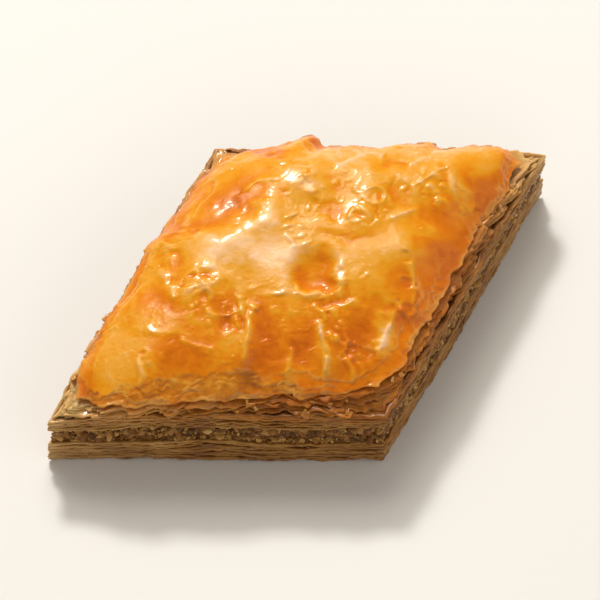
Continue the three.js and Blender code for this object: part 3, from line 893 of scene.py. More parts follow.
def leaf_ring(sh, k, z_mid, thick, ins, out, width, up, seed, curl, open_top, droop=0.0):
    """One leaf's border, closed, all round the piece; out is its inset at the cut."""
    u, v = perimeter(PER_SIDE)
    x0, y0 = plan(u, v, CUT)
    crinkled = smooth(-0.2, 0.6, noise3(x0 / 7, y0 / 7, 1.7 * k, seed + 36))
    bend = curl * (noise3(x0 / 4.2, y0 / 4.2, 2.7 * k, seed + 37) - 0.30) + curl * crinkled * (
        0.45 * noise3(x0 / 1.7, y0 / 1.7, 2.9 * k, seed + 35) + 0.22 * noise3(x0 / 0.8, y0 / 0.8, 3.1 * k, seed + 38)
    )
    tip = near_tip(x0, y0) ** 2.4
    bend = bend * (1 - 0.7 * tip) - droop
    tint = noise3(k * 5.13, 0.5, 0, seed + 45) * 0.8 + 0.5 * noise3(x0 / 8, y0 / 8, 1.9 * k, seed + 46)
    left = smooth(-SIDE / 2 + 4, -SIDE / 2 + 1, x0 - y0 * LEAN / DEPTH)
    cream = np.clip(
        (1.1 * near_tip(x0, y0) + 0.45 * left * (0.6 + 0.8 * noise3(x0 / 5, y0 / 5, k * 2.2, seed + 47)))
        * (0.35 + 0.65 * up), 0, 1,
    )
    # inset, side of the leaf, share of the bend, depth into the stack, nearness to the border
    section = [
        (width, -0.5, 0.0, 1.0, 0.0), (0.32, -0.5, 0.45, 0.7, 0.5), (0.0, -0.24, 1.0, 0.1, 1.0),
        (0.0, 0.24, 1.0, 0.0, 1.0), (0.32, 0.5, 0.45, open_top * 0.5, 0.5), (width, 0.5, 0.0, open_top, 0.0),
    ]
    if width > 3:
        section = [
            (width, -0.5, 0.0, 1.0, 0.0), (1.1, -0.5, 0.22, 1.0, 0.1), (0.40, -0.5, 0.66, 0.7, 0.5),
            (0.0, -0.24, 1.0, 0.1, 1.0), (0.0, 0.24, 1.0, 0.0, 1.0), (0.40, 0.5, 0.66, open_top * 0.3, 0.5),
            (1.1, 0.5, 0.22, open_top * 0.6, 0.1), (width, 0.5, 0.0, open_top, 0.0),
        ]
    rings = []
    for w, dz, turn, deep, rim in section:
        x, y = plan(u, v, ins, out + w)
        if abs(dz) < 0.3:
            dz = dz * (1 + 0.9 * tip)
        z = z_mid + dz * thick + turn * bend
        if w > 1.0:
            z = z + 0.22 * noise3(x / 2.0, y / 2.0, 4.1 * k, seed + 48) * min(1, (w - 1) / 2)
        rings.append(
            sh.add(
                np.stack([x, y, np.maximum(z, 0.0)], -1), groove=deep, rim=rim, leaf=tint, up=up,
                cream=cream * (0.45 + 0.55 * rim),
            )
        )
    for a, b in zip(rings, rings[1:] + rings[:1]):
        sh.band(a, b)


def leaf_inset(x, y, k, seed, ragged):
    ragged = ragged * (1 - 0.85 * near_tip(x, y) ** 2.0)
    n = 0.10 + ragged * (
        0.45 * noise3(x / 5.5, y / 5.5, k * 2.7, seed + 4) + 0.32 * noise3(x / 1.4, y / 1.4, k * 3.9, seed + 5)
        + 0.16 * noise3(x / 0.6, y / 0.6, k * 4.3, seed + 6)
    )
    torn = 0.9 * ragged * smooth(0.25, 0.75, noise3(x / 6, y / 6, k * 7.7, seed + 8))
    return np.maximum(n + torn, -0.22)


def leaf_stack(sh, count, z_low, z_high, seed, ragged, up_from, up_to):
    u, v = perimeter(PER_SIDE)
    x, y = plan(u, v, CUT)
    low, high = z_low(x, y), z_high(x, y)
    pitch = (high - low) / count
    for k in range(count):
        t = (k + 0.5) / count
        wave = 0.40 * noise3(x / 6, y / 6, k * 0.35, seed) + 0.22 * noise3(x / 1.9, y / 1.9, k * 0.7, seed + 1)
        z = lerp(low, high, t) + wave * pitch * 2 * math.sin(math.pi * min(1, max(0.12, t)))
        thick = pitch * (0.74 + 0.34 * noise3(x / 4, y / 4, k * 3.1, seed + 2))
        out = leaf_inset(x, y, k, seed, ragged) + (0.28 if k == 0 else 0.0) * (seed == 500)
        leaf_ring(sh, k, z, thick, CUT, out, 1.3, lerp(up_from, up_to, t), seed, 0.16, 0.8)


def core(sh, rows, z_low, z_high, outline):
    """The pressed stack behind the leaves' borders."""
    u, v = perimeter(PER_SIDE)

    def relief_of(x, y, z, t):
        # the pressed stack sits deepest and takes the darkest colour: the soaked stack's own colour with painted
        # shade
        return 1.0 + 0.15 * noise3(x / 1.5, y / 1.5, z / 0.6, 600), 1.0

    return u, v, wall(sh, u, v, rows, z_low, z_high, outline, relief_of, leaf=0, rim=0)


def make_base():
    sh = Shape()
    leaf_stack(sh, 13, lambda x, y: 0 * x, lambda x, y: base_line(x, y) + 0.05, 500, 0.55, 0.0, 0.3)
    u, v, ids = core(sh, 9, lambda x, y: 0 * x + 0.02, lambda x, y: base_line(x, y), lambda t: (CUT, 0.0))
    sh.fan(ids[0], (0, 0, 0.02), False, groove=1, leaf=0, up=0, rim=0)
    x, y = plan(u, v, CUT, 2.5)
    inner = sh.add(np.stack([x, y, base_line(x, y)], -1), groove=1, leaf=0, up=0, rim=0)
    sh.band(ids[-1], inner)
    sh.fan(inner, (0, 0, BASE_TOP), True, groove=1, leaf=0, up=0, rim=0)
    return sh.make("base_leaves")


def make_top_stack():
    sh = Shape()
    leaf_stack(
        sh, 10, lambda x, y: nut_line(x, y) - 0.05, lambda x, y: cut_top(x, y) - 0.1, 620, 0.7, 0.1, 0.6
    )

    u, v, prev = core(
        sh, 9, lambda x, y: nut_line(x, y), lambda x, y: cut_top(x, y) - 0.8, lambda t: (CUT, 0.0)
    )
    sh.fan(prev[0], (0, 0, NUT_TOP), False, groove=1, leaf=0, up=0, rim=0)
    # a cap that follows the toasted leaves and the crust from below
    prev = prev[-1]
    x0, y0 = plan(u, v, CUT)
    for d in (2.2, 3.6, 5.0, 6.6, 9.0, 13.0, 18.0, 23.0):
        x, y = plan(u, v, CUT, d)
        uu, vv = uv_of(x, y, CRUST)
        ledge = lerp(cut_top(x0, y0) - 0.8, crust_edge(x0, y0) - 1.6, min(1, (d - 1) / 3.5))
        z = np.minimum(ledge + max(0, d - 4.5) * 2.0, crown(uu, vv) - 1.9)
        ring = sh.add(np.stack([x, y, z], -1), groove=1, leaf=0, up=1, rim=0)
        sh.band(prev, ring)
        prev = ring
    zc = float(crown(np.array([0.5]), np.array([0.5]))[0]) - 1.9
    sh.fan(prev, (0.0, 0.0, zc), True, groove=1, leaf=0, up=1, rim=0)
    return sh.make("top_leaves")


def make_loose_leaves(count, seed):
    """Toasted leaves between the cut and the crust, torn and standing out in steps."""
    sh = Shape()
    u, v = perimeter(PER_SIDE)
    n = PER_SIDE
    s_pos = np.concatenate([u[:n], 1 + v[n : 2 * n], 2 + 1 - u[2 * n : 3 * n], 3 + 1 - v[3 * n :]])
    x, y = plan(u, v, CUT)
    tip = near_tip(x, y)
    for k in range(count):
        t = (k + 0.5) / count
        torn = jag(s_pos * 1.1 + 0.37 * k, seed + 11 * k, 1.7, 0.22)
        slow = 1.1 * noise3(x / 9, y / 9, 3.3 * k, seed + 31) + 0.35 * noise3(x / 3, y / 3, 2.1 * k, seed + 32)
        droop = 0.75 * smooth(-0.05, 0.55, noise3(x / 8, y / 8, 2.3 * k, seed + 33)) * (0.4 + 0.6 * t) * (1 - tip)
        out = np.maximum(-0.25 + torn + slow * (0.5 + 0.5 * t) - 0.8 * tip * t - 0.35 * droop, -0.4)
        low, high = cut_top(x, y) - 0.5, crust_edge(x, y) - 0.40
        z = lerp(low, high, t) + 0.14 * noise3(x / 2.6, y / 2.6, 5.1 * k, seed + 39) + 0.30 * noise3(
            x / 8, y / 8, 1.1 * k, seed + 41
        )
        thick = 0.19 + 0.05 * noise3(x / 4, y / 4, k * 3.1, seed + 2)
        leaf_ring(
            sh, k, z, thick, mixed(CUT, CRUST, t), out, 4.6, 0.6 + 0.4 * t, seed, 0.42, 0.15, droop
        )
    return sh.make("loose_leaves")


def make_flakes(count, seed):
    """Small torn bits of leaf caught on the ledge below the crust and near its edge."""
    rng = np.random.RandomState(seed)
    sh = Shape()
    rings = 3
    for n in range(count):
        s, t = rng.rand() * 4, rng.rand()
        if n % 3 == 0:
            s = rng.rand()
        side, f = int(s), 0.03 + 0.94 * (s - int(s))
        u = np.float64([f, 1, 1 - f, 0][side])
        v = np.float64([0, f, 1, 1 - f][side])
        e1 = np.array([(1, 0), (LEAN / DEPTH, 1), (-1, 0), (-LEAN / DEPTH, -1)][side], float)
        e1 = np.append(e1 / np.linalg.norm(e1), 0)
        e2 = np.array([-e1[1], e1[0], 0])
        rise = math.radians(38 + 22 * rng.rand())
        x, y = plan(u, v, mixed(CUT, CRUST, t), 0.25)
        z = lerp(float(cut_top(x, y)) - 0.1, float(crust_edge(x, y)) - 0.5, t) + 0.12
        turn = rng.rand() * 6.28
        tilt = e2 * math.cos(rise) + np.array([0, 0, math.sin(rise)])
        a = e1 * math.cos(turn) + tilt * math.sin(turn)
        b = tilt * math.cos(turn) - e1 * math.sin(turn)
        nrm = np.cross(a, b)
        size = 0.40 + 0.95 * rng.rand() ** 1.8
        # a torn shard: a few corners, with straight tears between them
        corners = rng.randint(4, 7)
        th = (np.arange(corners) + 0.7 * rng.rand(corners)) / corners * 2 * math.pi
        cx = size * (0.55 + 0.6 * rng.rand(corners)) * np.cos(th)
        cy = size * (0.30 + 0.45 * rng.rand(corners)) * np.sin(th)
        k = np.arange(3)[None] / 3
        px = (cx[:, None] * (1 - k) + np.roll(cx, -1)[:, None] * k).ravel()
        py = (cy[:, None] * (1 - k) + np.roll(cy, -1)[:, None] * k).ravel()
        spokes = len(px)
        wob = 1 + 0.10 * rng.normal(size=spokes)
        px, py = px * wob, py * wob
        curl = (0.10 + 0.20 * rng.rand()) / size * (1 if rng.rand() < 0.75 else -1)
        tint, cream = rng.rand() * 1.2 - 0.3, 0.5 * rng.rand() ** 2
        ids = []
        for face in (1, -1):
            centre = sh.add([np.array([x, y, z]) + nrm * 0.05 * face], groove=0, rim=0.1, leaf=tint, up=1.1, cream=cream)
            loops = []
            for r in range(1, rings + 1):
                q = r / rings
                ca, cb = px * q, py * q
                lift = curl * ca**2 + 0.06 * noise3(ca * 2 + n, cb * 2, 3, seed + 1)
                pts = (
                    np.array([x, y, z]) + ca[:, None] * a + cb[:, None] * b
                    + (lift + face * 0.05 * (1 - 0.5 * (r == rings)))[:, None] * nrm
                )
                loops.append(sh.add(pts, groove=0, rim=0.3 * q, leaf=tint, up=1.1, cream=cream))
            nxt = np.roll(loops[0], -1)
            c = np.full(spokes, centre[0])
            sh.faces(np.stack([c, loops[0], nxt] if face > 0 else [c, nxt, loops[0]], -1))
            for l0, l1 in zip(loops[:-1], loops[1:]):
                if face > 0:
                    sh.band(l1, l0)
                else:
                    sh.band(l0, l1)
            ids.append(loops[-1])
        sh.band(ids[1], ids[0])
    return sh.make("leaf_flakes")


def make_nut_paste():
    u, v = perimeter(PER_SIDE + 40)
    sh = Shape()

    def relief_of(x, y, z, t):
        n = fbm(x / 2.0, y / 2.0, z / 2.0, 700, 3)
        c = np.abs(noise3(x / 0.9, y / 0.9, z / 0.9, 710))
        d = NUT_RECESS + 0.15 + 0.40 * n + 0.45 * (0.4 - c) + 0.20 * noise3(x / 0.4, y / 0.4, z / 0.4, 712)
        # the second value darkens the paste where it lies deeper: painted shade in the recesses
        return d, np.clip(0.45 + 0.9 * n + 0.8 * (0.4 - c), 0, 1)

    ids = wall(
        sh, u, v, 34, lambda x, y: base_line(x, y) - 0.1, lambda x, y: nut_line(x, y) + 0.1,
        lambda t: (CUT, 0.0), relief_of,
    )
    for ring, up, z in ((ids[0], False, BASE_TOP), (ids[-1], True, NUT_TOP)):
        sh.fan(ring, (0, 0, z), up, groove=0.5, up=float(up))
    return sh.make("nut_paste")


# --------------------------------------------------------------------------
# Chopped nuts at the cut sides
# --------------------------------------------------------------------------
def sphere(levels):
    t = (1 + 5**0.5) / 2
    v = np.array(
        [[-1, t, 0], [1, t, 0], [-1, -t, 0], [1, -t, 0], [0, -1, t], [0, 1, t], [0, -1, -t],
         [0, 1, -t], [t, 0, -1], [t, 0, 1], [-t, 0, -1], [-t, 0, 1]], float,
    )
    f = np.array(
        [[0, 11, 5], [0, 5, 1], [0, 1, 7], [0, 7, 10], [0, 10, 11], [1, 5, 9], [5, 11, 4],
         [11, 10, 2], [10, 7, 6], [7, 1, 8], [3, 9, 4], [3, 4, 2], [3, 2, 6], [3, 6, 8],
         [3, 8, 9], [4, 9, 5], [2, 4, 11], [6, 2, 10], [8, 6, 7], [9, 8, 1]],
    )
    for _ in range(levels):
        mid, out = {}, []
        verts = list(v)

        def half(a, b):
            key = (min(a, b), max(a, b))
            if key not in mid:
                mid[key] = len(verts)
                verts.append((v[a] + v[b]) / 2)
            return mid[key]

        for a, b, c in f:
            ab, bc, ca = half(a, b), half(b, c), half(c, a)
            out += [[a, ab, ca], [b, bc, ab], [c, ca, bc], [ab, bc, ca]]
        v, f = np.array(verts), np.array(out)
    return v / np.linalg.norm(v, axis=1, keepdims=True), f


def chunk(rng, size):
    """A small irregular convex-ish bit: a ball squashed, faceted and pitted."""
    v, f = sphere(1)
    # flatten against a few random planes, as a chopped nut is
    for _ in range(6):
        nrm = rng.normal(size=3)
        nrm /= np.linalg.norm(nrm)
        lim = 0.30 + 0.45 * rng.rand()
        over = np.maximum(v @ nrm - lim, 0)
        v = v - over[:, None] * nrm * 0.95
    o = rng.rand(3) * 90
    v = v * (1 + 0.16 * noise3(v[:, 0] * 1.6 + o[0], v[:, 1] * 1.6 + o[1], v[:, 2] * 1.6 + o[2], 91))[:, None]
    scale = size * np.array([1, 0.65 + 0.35 * rng.rand(), 0.5 + 0.4 * rng.rand()])
    q = rng.normal(size=4)
    q /= np.linalg.norm(q)
    w, x, y, z = q
    R = np.array(
        [[1 - 2 * (y * y + z * z), 2 * (x * y - z * w), 2 * (x * z + y * w)],
         [2 * (x * y + z * w), 1 - 2 * (x * x + z * z), 2 * (y * z - x * w)],
         [2 * (x * z - y * w), 2 * (y * z + x * w), 1 - 2 * (x * x + y * y)]]
    )
    return (v * scale) @ R.T, f


def make_nuts(name, count, small, large, seed):
    rng = np.random.RandomState(seed)
    sh = Shape()
    placed = []
    spots = np.zeros((count, 4))
    tries = 0
    while len(placed) < count and tries < count * 8:
        tries += 1
        s = rng.rand() * 4
        side, f = int(s), s - int(s)
        u = [f, 1, 1 - f, 0][side]
        v = [0, f, 1, 1 - f][side]
        size = small + (large - small) * rng.rand() ** 2.1
        x, y = plan(np.float64(u), np.float64(v), CUT, NUT_RECESS + size * (0.24 + 0.38 * rng.rand()))
        lo, hi = base_line(x, y) + size * 0.5, nut_line(x, y) - size * 0.5
        if hi <= lo:
            continue
        z = lo + (hi - lo) * rng.rand()
        p = np.array([x, y, z])
        if len(placed):
            near = np.linalg.norm(spots[: len(placed), :3] - p, axis=1) < 0.62 * (size + spots[: len(placed), 3])
            if near.any():
                continue
        spots[len(placed)] = (*p, size)
        placed.append((p, size))
        verts, faces = chunk(rng, size)
        ids = sh.add(verts + p, bit=rng.rand(), groove=0.0)
        sh.faces(ids[faces])
    return sh.make(name)


def make_beads(count, seed):
    """Small beads of syrup held on the cut sides."""
    rng = np.random.RandomState(seed)
    sh = Shape()
    ball, faces = sphere(1)
    for _ in range(count):
        f, side = rng.rand(), rng.randint(4)
        u = np.float64([f, 1, 1 - f, 0][side])
        v = np.float64([0, f, 1, 1 - f][side])
        size = 0.10 + 0.24 * rng.rand() ** 2.5
        x0, y0 = plan(u, v, CUT)
        t = rng.rand()
        z = lerp(0.5, float(cut_top(x0, y0)), t**0.8)
        x, y = plan(u, v, CUT, 0.02 + 0.10 * rng.rand() + (NUT_RECESS if base_line(x0, y0) < z < nut_line(x0, y0) else 0))
        nx, ny = [(0, -1), (SLANT, -SLANT * LEAN / DEPTH), (0, 1), (-SLANT, SLANT * LEAN / DEPTH)][side]
        along = ball @ np.array([-ny, nx, 0])
        out = ball @ np.array([nx, ny, 0])
        long, tall = size * (0.9 + 0.9 * rng.rand()), size * (0.55 + 0.35 * rng.rand())
        pts = np.stack(
            [along * long * -ny + out * size * 0.45 * nx, along * long * nx + out * size * 0.45 * ny, ball[:, 2] * tall], -1
        )
        ids = sh.add(pts + [x, y, z])
        sh.faces(ids[faces])
    return sh.make("syrup_beads")


# --------------------------------------------------------------------------
# Materials
# --------------------------------------------------------------------------
def srgb(h):
    h = h.lstrip("#")
    c = [int(h[i : i + 2], 16) / 255 for i in (0, 2, 4)]
    return tuple(x / 12.92 if x <= 0.04045 else ((x + 0.055) / 1.055) ** 2.4 for x in c) + (1.0,)


class Nodes:
    def __init__(self, name):
        self.mat = bpy.data.materials.new(name)
        self.mat.use_nodes = True
        self.t = self.mat.node_tree
        self.bsdf = self.t.nodes["Principled BSDF"]
        self.coord = self.t.nodes.new("ShaderNodeTexCoord").outputs["Object"]

    def link(self, a, b):
        self.t.links.new(a, b)

    def put(self, socket, value):
        if isinstance(value, bpy.types.NodeSocket):
            self.link(value, socket)
        else:
            socket.default_value = value

    def attr(self, name):
        n = self.t.nodes.new("ShaderNodeAttribute")
        n.attribute_name = name
        return n.outputs["Fac"]

    def noise(self, scale, detail=3.0, rough=0.55, distort=0.0, stretch=None):
        n = self.t.nodes.new("ShaderNodeTexNoise")
        n.inputs["Scale"].default_value = scale
        n.inputs["Detail"].default_value = detail
        n.inputs["Roughness"].default_value = rough
        n.inputs["Distortion"].default_value = distort
        self.link(self.mapped(stretch), n.inputs["Vector"])
        return n.outputs["Fac"]

    def mapped(self, stretch):
        if stretch is None:
            return self.coord
        m = self.t.nodes.new("ShaderNodeMapping")
        m.inputs["Scale"].default_value = stretch
        self.link(self.coord, m.inputs["Vector"])
        return m.outputs["Vector"]

    def voronoi(self, scale, feature="F1", out="Distance", rand=1.0):
        n = self.t.nodes.new("ShaderNodeTexVoronoi")
        n.feature = feature
        n.inputs["Scale"].default_value = scale
        n.inputs["Randomness"].default_value = rand
        self.link(self.coord, n.inputs["Vector"])
        return n.outputs[out]

    def math(self, op, a, b=0.0, clamp=False):
        n = self.t.nodes.new("ShaderNodeMath")
        n.operation = op
        n.use_clamp = clamp
        self.put(n.inputs[0], a)
        self.put(n.inputs[1], b)
        return n.outputs[0]

    def span(self, value, a, b, c=0.0, d=1.0):
        n = self.t.nodes.new("ShaderNodeMapRange")
        self.put(n.inputs["Value"], value)
        for k, x in zip(("From Min", "From Max", "To Min", "To Max"), (a, b, c, d)):
            n.inputs[k].default_value = x
        return n.outputs["Result"]

    def ramp(self, fac, stops):
        n = self.t.nodes.new("ShaderNodeValToRGB")
        e = n.color_ramp.elements
        while len(e) < len(stops):
            e.new(0.5)
        for el, (p, c) in zip(e, stops):
            el.position = p
            el.color = srgb(c) if isinstance(c, str) else c
        self.link(fac, n.inputs["Fac"])
        return n.outputs["Color"]

    def mix(self, fac, a, b, kind="MIX"):
        n = self.t.nodes.new("ShaderNodeMix")
        n.data_type = "RGBA"
        n.blend_type = kind
        self.put(n.inputs[0], fac)
        self.put(n.inputs[6], srgb(a) if isinstance(a, str) else a)
        self.put(n.inputs[7], srgb(b) if isinstance(b, str) else b)
        return n.outputs[2]

    def bump(self, height, strength, distance, normal=None):
        n = self.t.nodes.new("ShaderNodeBump")
        n.inputs["Strength"].default_value = strength
        n.inputs["Distance"].default_value = distance
        self.link(height, n.inputs["Height"])
        if normal is not None:
            self.link(normal, n.inputs["Normal"])
        return n.outputs["Normal"]

    def set(self, **kw):
        names = {
            "color": "Base Color", "rough": "Roughness", "ior": "IOR", "sss": "Subsurface Weight",
            "sss_radius": "Subsurface Radius", "sss_scale": "Subsurface Scale", "coat": "Coat Weight",
            "coat_rough": "Coat Roughness", "coat_ior": "Coat IOR", "coat_tint": "Coat Tint",
            "normal": "Normal", "coat_normal": "Coat Normal", "spec": "Specular IOR Level",
            "transmission": "Transmission Weight", "spec_tint": "Specular Tint", "aniso": "Subsurface Anisotropy",
        }
        for k, val in kw.items():
            self.put(self.bsdf.inputs[names[k]], val)
        return self.mat


def crust_material():
    m = Nodes("glazed_crust")
    tone = m.attr("tone")
    grain = m.noise(420, 4, 0.6)
    patch = m.noise(95, 3, 0.5, 0.6)
    fac = m.math("ADD", tone, m.math("MULTIPLY", m.math("SUBTRACT", patch, 0.5), 0.35))
    fac = m.math("ADD", fac, m.math("MULTIPLY", m.math("SUBTRACT", grain, 0.5), 0.24))
    # uneven browning of the leaf, in streaks a few millimetres long
    streak = m.noise(230, 3, 0.6, 1.4, (1.0, 1.35, 1.0))
    fac = m.math("ADD", fac, m.math("MULTIPLY", m.math("SUBTRACT", streak, 0.5), 0.50))
    # the palest stops hold the peach of the painted sheen laid on by the lifted places, as well as the dry leaf's
    # colour
    col = m.ramp(fac, [
        (0.02, "#C66000"), (0.20, "#D87400"), (0.38, "#E18302"), (0.54, "#E59714"),
        (0.70, "#E7A134"), (0.84, "#EDAF64"), (1.00, "#F5C292"),
    ])
    # browner freckles where the sheet caught the heat
    freck = m.span(m.noise(800, 2, 0.5), 0.62, 0.74)
    col = m.mix(m.math("MULTIPLY", freck, 0.12), col, "#B4560A")
    under = m.math("ADD", m.math("MULTIPLY", fac, 0.6), 0.18)
    bare = m.ramp(m.math("ADD", under, m.math("MULTIPLY", m.math("SUBTRACT", m.noise(620, 3, 0.6), 0.5), 0.9)), [
        (0.05, "#9A560A"), (0.32, "#BA7018"), (0.58, "#D08E2E"), (0.92, "#EAB660"),
    ])
    worn = m.math("MULTIPLY", m.attr("toast"), m.span(m.noise(240, 3, 0.6), 0.30, 0.60, 0.35, 0.85))
    col = m.mix(worn, col, bare)
    pale = m.math("MULTIPLY", m.attr("pale"), m.span(m.noise(150, 2), 0.35, 0.6))
    col = m.mix(m.math("MULTIPLY", pale, 0.45), col, "#F2BE62")
    rough = m.span(m.noise(300, 3), 0.3, 0.7, 0.24, 0.40)
    fine = m.bump(m.noise(1500, 3, 0.6), 0.12, 0.0002)
    fine = m.bump(m.noise(420, 3, 0.55, 0.8), 0.20, 0.0006, fine)
    skin = m.bump(m.noise(350, 2, 0.5), 0.07, 0.0005)
    skin = m.bump(m.noise(1000, 3, 0.55), 0.06, 0.0003, skin)
    return m.set(
        color=col, rough=rough, ior=1.45, spec=0.22, spec_tint=(1.0, 0.74, 0.46, 1.0), sss=0.15,
        sss_radius=(1.0, 0.42, 0.12), sss_scale=0.0016, coat=0.34, coat_rough=0.13, coat_ior=1.62,
        normal=fine, coat_normal=skin,
    )


def leaf_material(name, dry, loose=False):
    m = Nodes(name)
    up, groove, leaf, rim = m.attr("up"), m.attr("groove"), m.attr("leaf"), m.attr("rim")
    n1 = m.noise(150, 3, 0.55)
    n2 = m.noise(800, 3, 0.6, 0.0, (1, 1, 4))
    fac = m.math("ADD", m.math("MULTIPLY", leaf, 0.20), m.math("MULTIPLY", m.math("SUBTRACT", n1, 0.5), 0.8))
    fac = m.math("ADD", fac, m.math("ADD", 0.46, m.math("MULTIPLY", rim, 0.10)))
    fac = m.math("ADD", fac, m.math("MULTIPLY", m.math("SUBTRACT", n2, 0.5), 0.45))
    high = m.ramp(fac, [(0.05, "#7C3604"), (0.35, "#AC5A0E"), (0.65, "#D08028"), (1.0, "#EFB061")])
    low = m.ramp(fac, [(0.05, "#45240A"), (0.35, "#804E1A"), (0.65, "#AE7C36"), (1.0, "#D8AC66")])
    if dry:
        shift = m.math("ADD", up, m.math("MULTIPLY", m.math("SUBTRACT", n1, 0.5), 0.5))
        col = m.mix(m.span(shift, 0.30, 0.85), low, high)
    else:
        col = low
    if loose:
        burnt = m.math("MULTIPLY", rim, m.span(m.noise(210, 3), 0.42, 0.62))
        col = m.mix(m.math("MULTIPLY", burnt, 0.55), col, "#8A4208")
    col = m.mix(m.attr("cream"), col, "#E6BC7C")
    # syrup between the leaves is darker, and the colour also carries painted shade in the recesses between and
    # behind the leaves
    col = m.mix(m.math("MULTIPLY", groove, 0.72), col, "#3A1E04")
    rough = m.span(m.noise(260, 3), 0.3, 0.7, 0.28, 0.5)
    nrm = m.bump(n2, 0.30, 0.0003)
    nrm = m.bump(m.noise(380, 3, 0.55), 0.35, 0.0005, nrm)
    return m.set(
        color=col, rough=rough, ior=1.45, spec=0.3, spec_tint=(1.0, 0.66, 0.34, 1.0),
        sss=0.3 if loose else 0.2, sss_radius=(1.0, 0.5, 0.18), sss_scale=0.0013, coat=0.8,
        coat_rough=0.06, coat_ior=1.33, normal=nrm,
    )


def paste_material():
    m = Nodes("nut_paste")
    n1 = m.noise(520, 4, 0.65)
    cells = m.voronoi(900, "F1", "Color")
    sep = m.t.nodes.new("ShaderNodeSeparateColor")
    m.link(cells, sep.inputs[0])
    pick = m.math("ADD", m.math("MULTIPLY", sep.outputs[0], 0.6), m.math("MULTIPLY", n1, 0.5))
    col = m.ramp(pick, [(0.15, "#42260A"), (0.4, "#784818"), (0.6, "#96642A"), (0.8, "#B28444"), (1.0, "#CCA468")])
    # painted shade in the paste's recesses
    col = m.mix(m.math("MULTIPLY", m.attr("groove"), 0.7), col, "#2A1402")
    nrm = m.bump(m.voronoi(1100), 0.6, 0.0006)
    nrm = m.bump(n1, 0.4, 0.0005, nrm)
    return m.set(
        color=col, rough=0.5, ior=1.45, spec=0.25, spec_tint=(1.0, 0.7, 0.4, 1.0), sss=0.1,
        sss_radius=(1.0, 0.6, 0.25), sss_scale=0.001, coat=0.35, coat_rough=0.10, coat_ior=1.33, normal=nrm,
    )


def nut_material(name, stops, skin):
    m = Nodes(name)
    n1 = m.noise(900, 4, 0.6)
    fac = m.math("ADD", m.math("MULTIPLY", m.attr("bit"), 0.55), m.math("MULTIPLY", n1, 0.5))
    col = m.ramp(fac, stops)
    col = m.mix(m.math("MULTIPLY", m.span(m.noise(380, 2), 0.55, 0.66), 0.8), col, skin)
    nrm = m.bump(n1, 0.35, 0.0005)
    return m.set(
        color=col, rough=0.45, ior=1.45, spec=0.25, spec_tint=(1.0, 0.72, 0.45, 1.0), sss=0.2,
        sss_radius=(1.0, 0.7, 0.35), sss_scale=0.001, coat=0.4, coat_rough=0.10, coat_ior=1.33, normal=nrm,
    )


def syrup_material():
    m = Nodes("syrup")
    tint = m.ramp(m.noise(300, 2), [(0.35, "#7A4A12"), (0.65, "#B47A28")])
    return m.set(
        color=tint, rough=0.12, ior=1.48, spec=0.6, sss=0.3, sss_radius=(1.0, 0.55, 0.2),
        sss_scale=0.0008, coat=1.0, coat_rough=0.03, coat_ior=1.5,
    )


# --------------------------------------------------------------------------
# Assemble
# --------------------------------------------------------------------------
MAT_CRUST = crust_material()
MAT_BASE = leaf_material("soaked_leaves", False)
MAT_TOP = leaf_material("upper_leaves", True)
MAT_LOOSE = leaf_material("toasted_leaves", True, True)
MAT_PASTE = paste_material()
MAT_PALE = nut_material(
    "pale_nut", [(0.1, "#7C521E"), (0.45, "#AA7C3A"), (0.75, "#C8A05A"), (1.0, "#DEBE86")], "#6E4416")
MAT_BROWN = nut_material(
    "brown_nut", [(0.1, "#4E2C0A"), (0.45, "#7C4E1A"), (0.75, "#A07034"), (1.0, "#BE9054")], "#351A05")

finish_piece(make_crust(), "glazed_crust", MAT_CRUST, "top_pastry")
finish_piece(make_top_stack(), "glazed_crust", MAT_TOP, "top_pastry")
finish_piece(make_loose_leaves(7, 800), "glazed_crust", MAT_LOOSE, "top_pastry")
finish_piece(make_flakes(42, 61), "glazed_crust", MAT_LOOSE, "top_pastry")
finish_piece(make_nut_paste(), "chopped_nuts", MAT_PASTE, "nut_filling")
finish_piece(make_nuts("pale_nut_bits", 540, 0.30, 1.65, 31), "chopped_nuts", MAT_PALE, "nut_filling")
finish_piece(make_nuts("brown_nut_bits", 680, 0.30, 1.85, 57), "chopped_nuts", MAT_BROWN, "nut_filling")
finish_piece(make_base(), "soaked_pastry", MAT_BASE, "base_pastry")
finish_piece(make_beads(520, 93), "soaked_pastry", syrup_material())

# --------------------------------------------------------------------------
# Floor, light and camera
# --------------------------------------------------------------------------
scene = bpy.context.scene

floor_mesh = bpy.data.meshes.new("floor")
s = 4.0
floor_mesh.from_pydata([(-s, -s, 0), (s, -s, 0), (s, s, 0), (-s, s, 0)], [], [(0, 1, 2, 3)])
floor = bpy.data.objects.new("floor", floor_mesh)
scene.collection.objects.link(floor)
fm = Nodes("floor_pale")
floor_tint = fm.ramp(fm.noise(3, 2), [(0.3, (0.80, 0.79, 0.78, 1)), (0.7, (0.84, 0.83, 0.82, 1))])
floor_mesh.materials.append(fm.set(color=floor_tint, rough=0.6, spec=0.2))

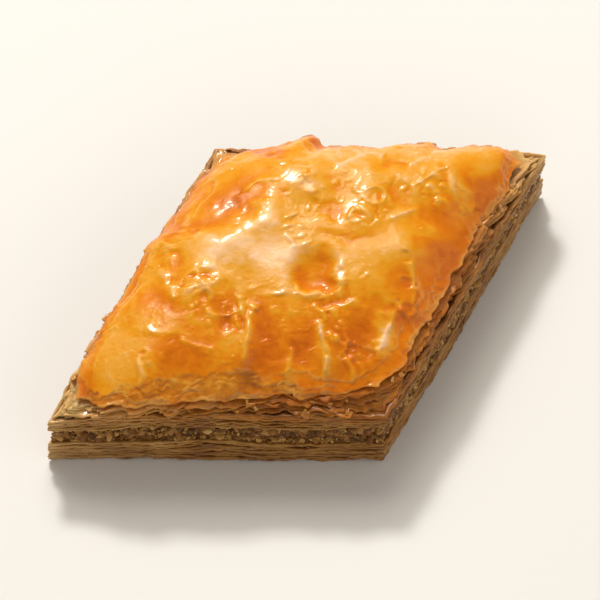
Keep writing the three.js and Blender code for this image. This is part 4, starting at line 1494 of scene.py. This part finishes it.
world = bpy.data.worlds.new("studio")
world.use_nodes = True
scene.world = world
bg = world.node_tree.nodes["Background"]
bg.inputs["Color"].default_value = (1.0, 0.93, 0.83, 1)
bg.inputs["Strength"].default_value = 0.30


def area(name, where, size_x, size_y, power, target=(0, 0, 0.012), colour=(1, 1, 1)):
    light = bpy.data.lights.new(name, "AREA")
    light.shape = "RECTANGLE"
    light.size, light.size_y = size_x, size_y
    light.energy = power
    light.color = colour
    ob = bpy.data.objects.new(name, light)
    ob.location = where
    ob.rotation_euler = (Vector(target) - Vector(where)).to_track_quat("-Z", "Y").to_euler()
    scene.collection.objects.link(ob)
    return ob


area("key_window", (-0.24, 0.95, 1.02), 0.22, 0.17, 12.0, colour=(1, 0.97, 0.93))
area("soft_box", (-0.18, 0.80, 1.20), 0.80, 0.64, 6.8, colour=(1, 0.94, 0.82))
area("soft_wide", (-0.18, 0.84, 1.26), 1.35, 1.05, 3.2, colour=(1, 0.94, 0.83))
area("fill_front", (0.30, -1.35, 0.80), 1.7, 1.1, 3.6, colour=(1, 0.93, 0.82))
area("fill_right", (1.35, -0.35, 0.85), 1.5, 1.1, 2.8, colour=(1, 0.93, 0.82))

AZ, EL, ROLL = -3.6, 58.0, 3.0
DISTANCE, WIDE = 1.155, 0.112
target = Vector((0.0, -0.001, 0.0105))
az, el = math.radians(AZ), math.radians(EL)
back = Vector((math.sin(az) * math.cos(el), -math.cos(az) * math.cos(el), math.sin(el)))
right = Vector((math.cos(az), math.sin(az), 0.0))
up = back.cross(right)
cam_data = bpy.data.cameras.new("camera")
cam_data.sensor_width = 36.0
cam_data.lens = 36.0 * DISTANCE / WIDE
cam_data.clip_start, cam_data.clip_end = 0.05, 20.0
cam = bpy.data.objects.new("camera", cam_data)
rot = Matrix((right, up, back)).transposed().to_4x4()
roll = Matrix.Rotation(math.radians(ROLL), 4, "Z")
cam.matrix_world = Matrix.Translation(target + back * DISTANCE) @ rot @ roll
scene.collection.objects.link(cam)
scene.camera = cam

scene.view_settings.view_transform = "Standard"
scene.view_settings.look = "None"
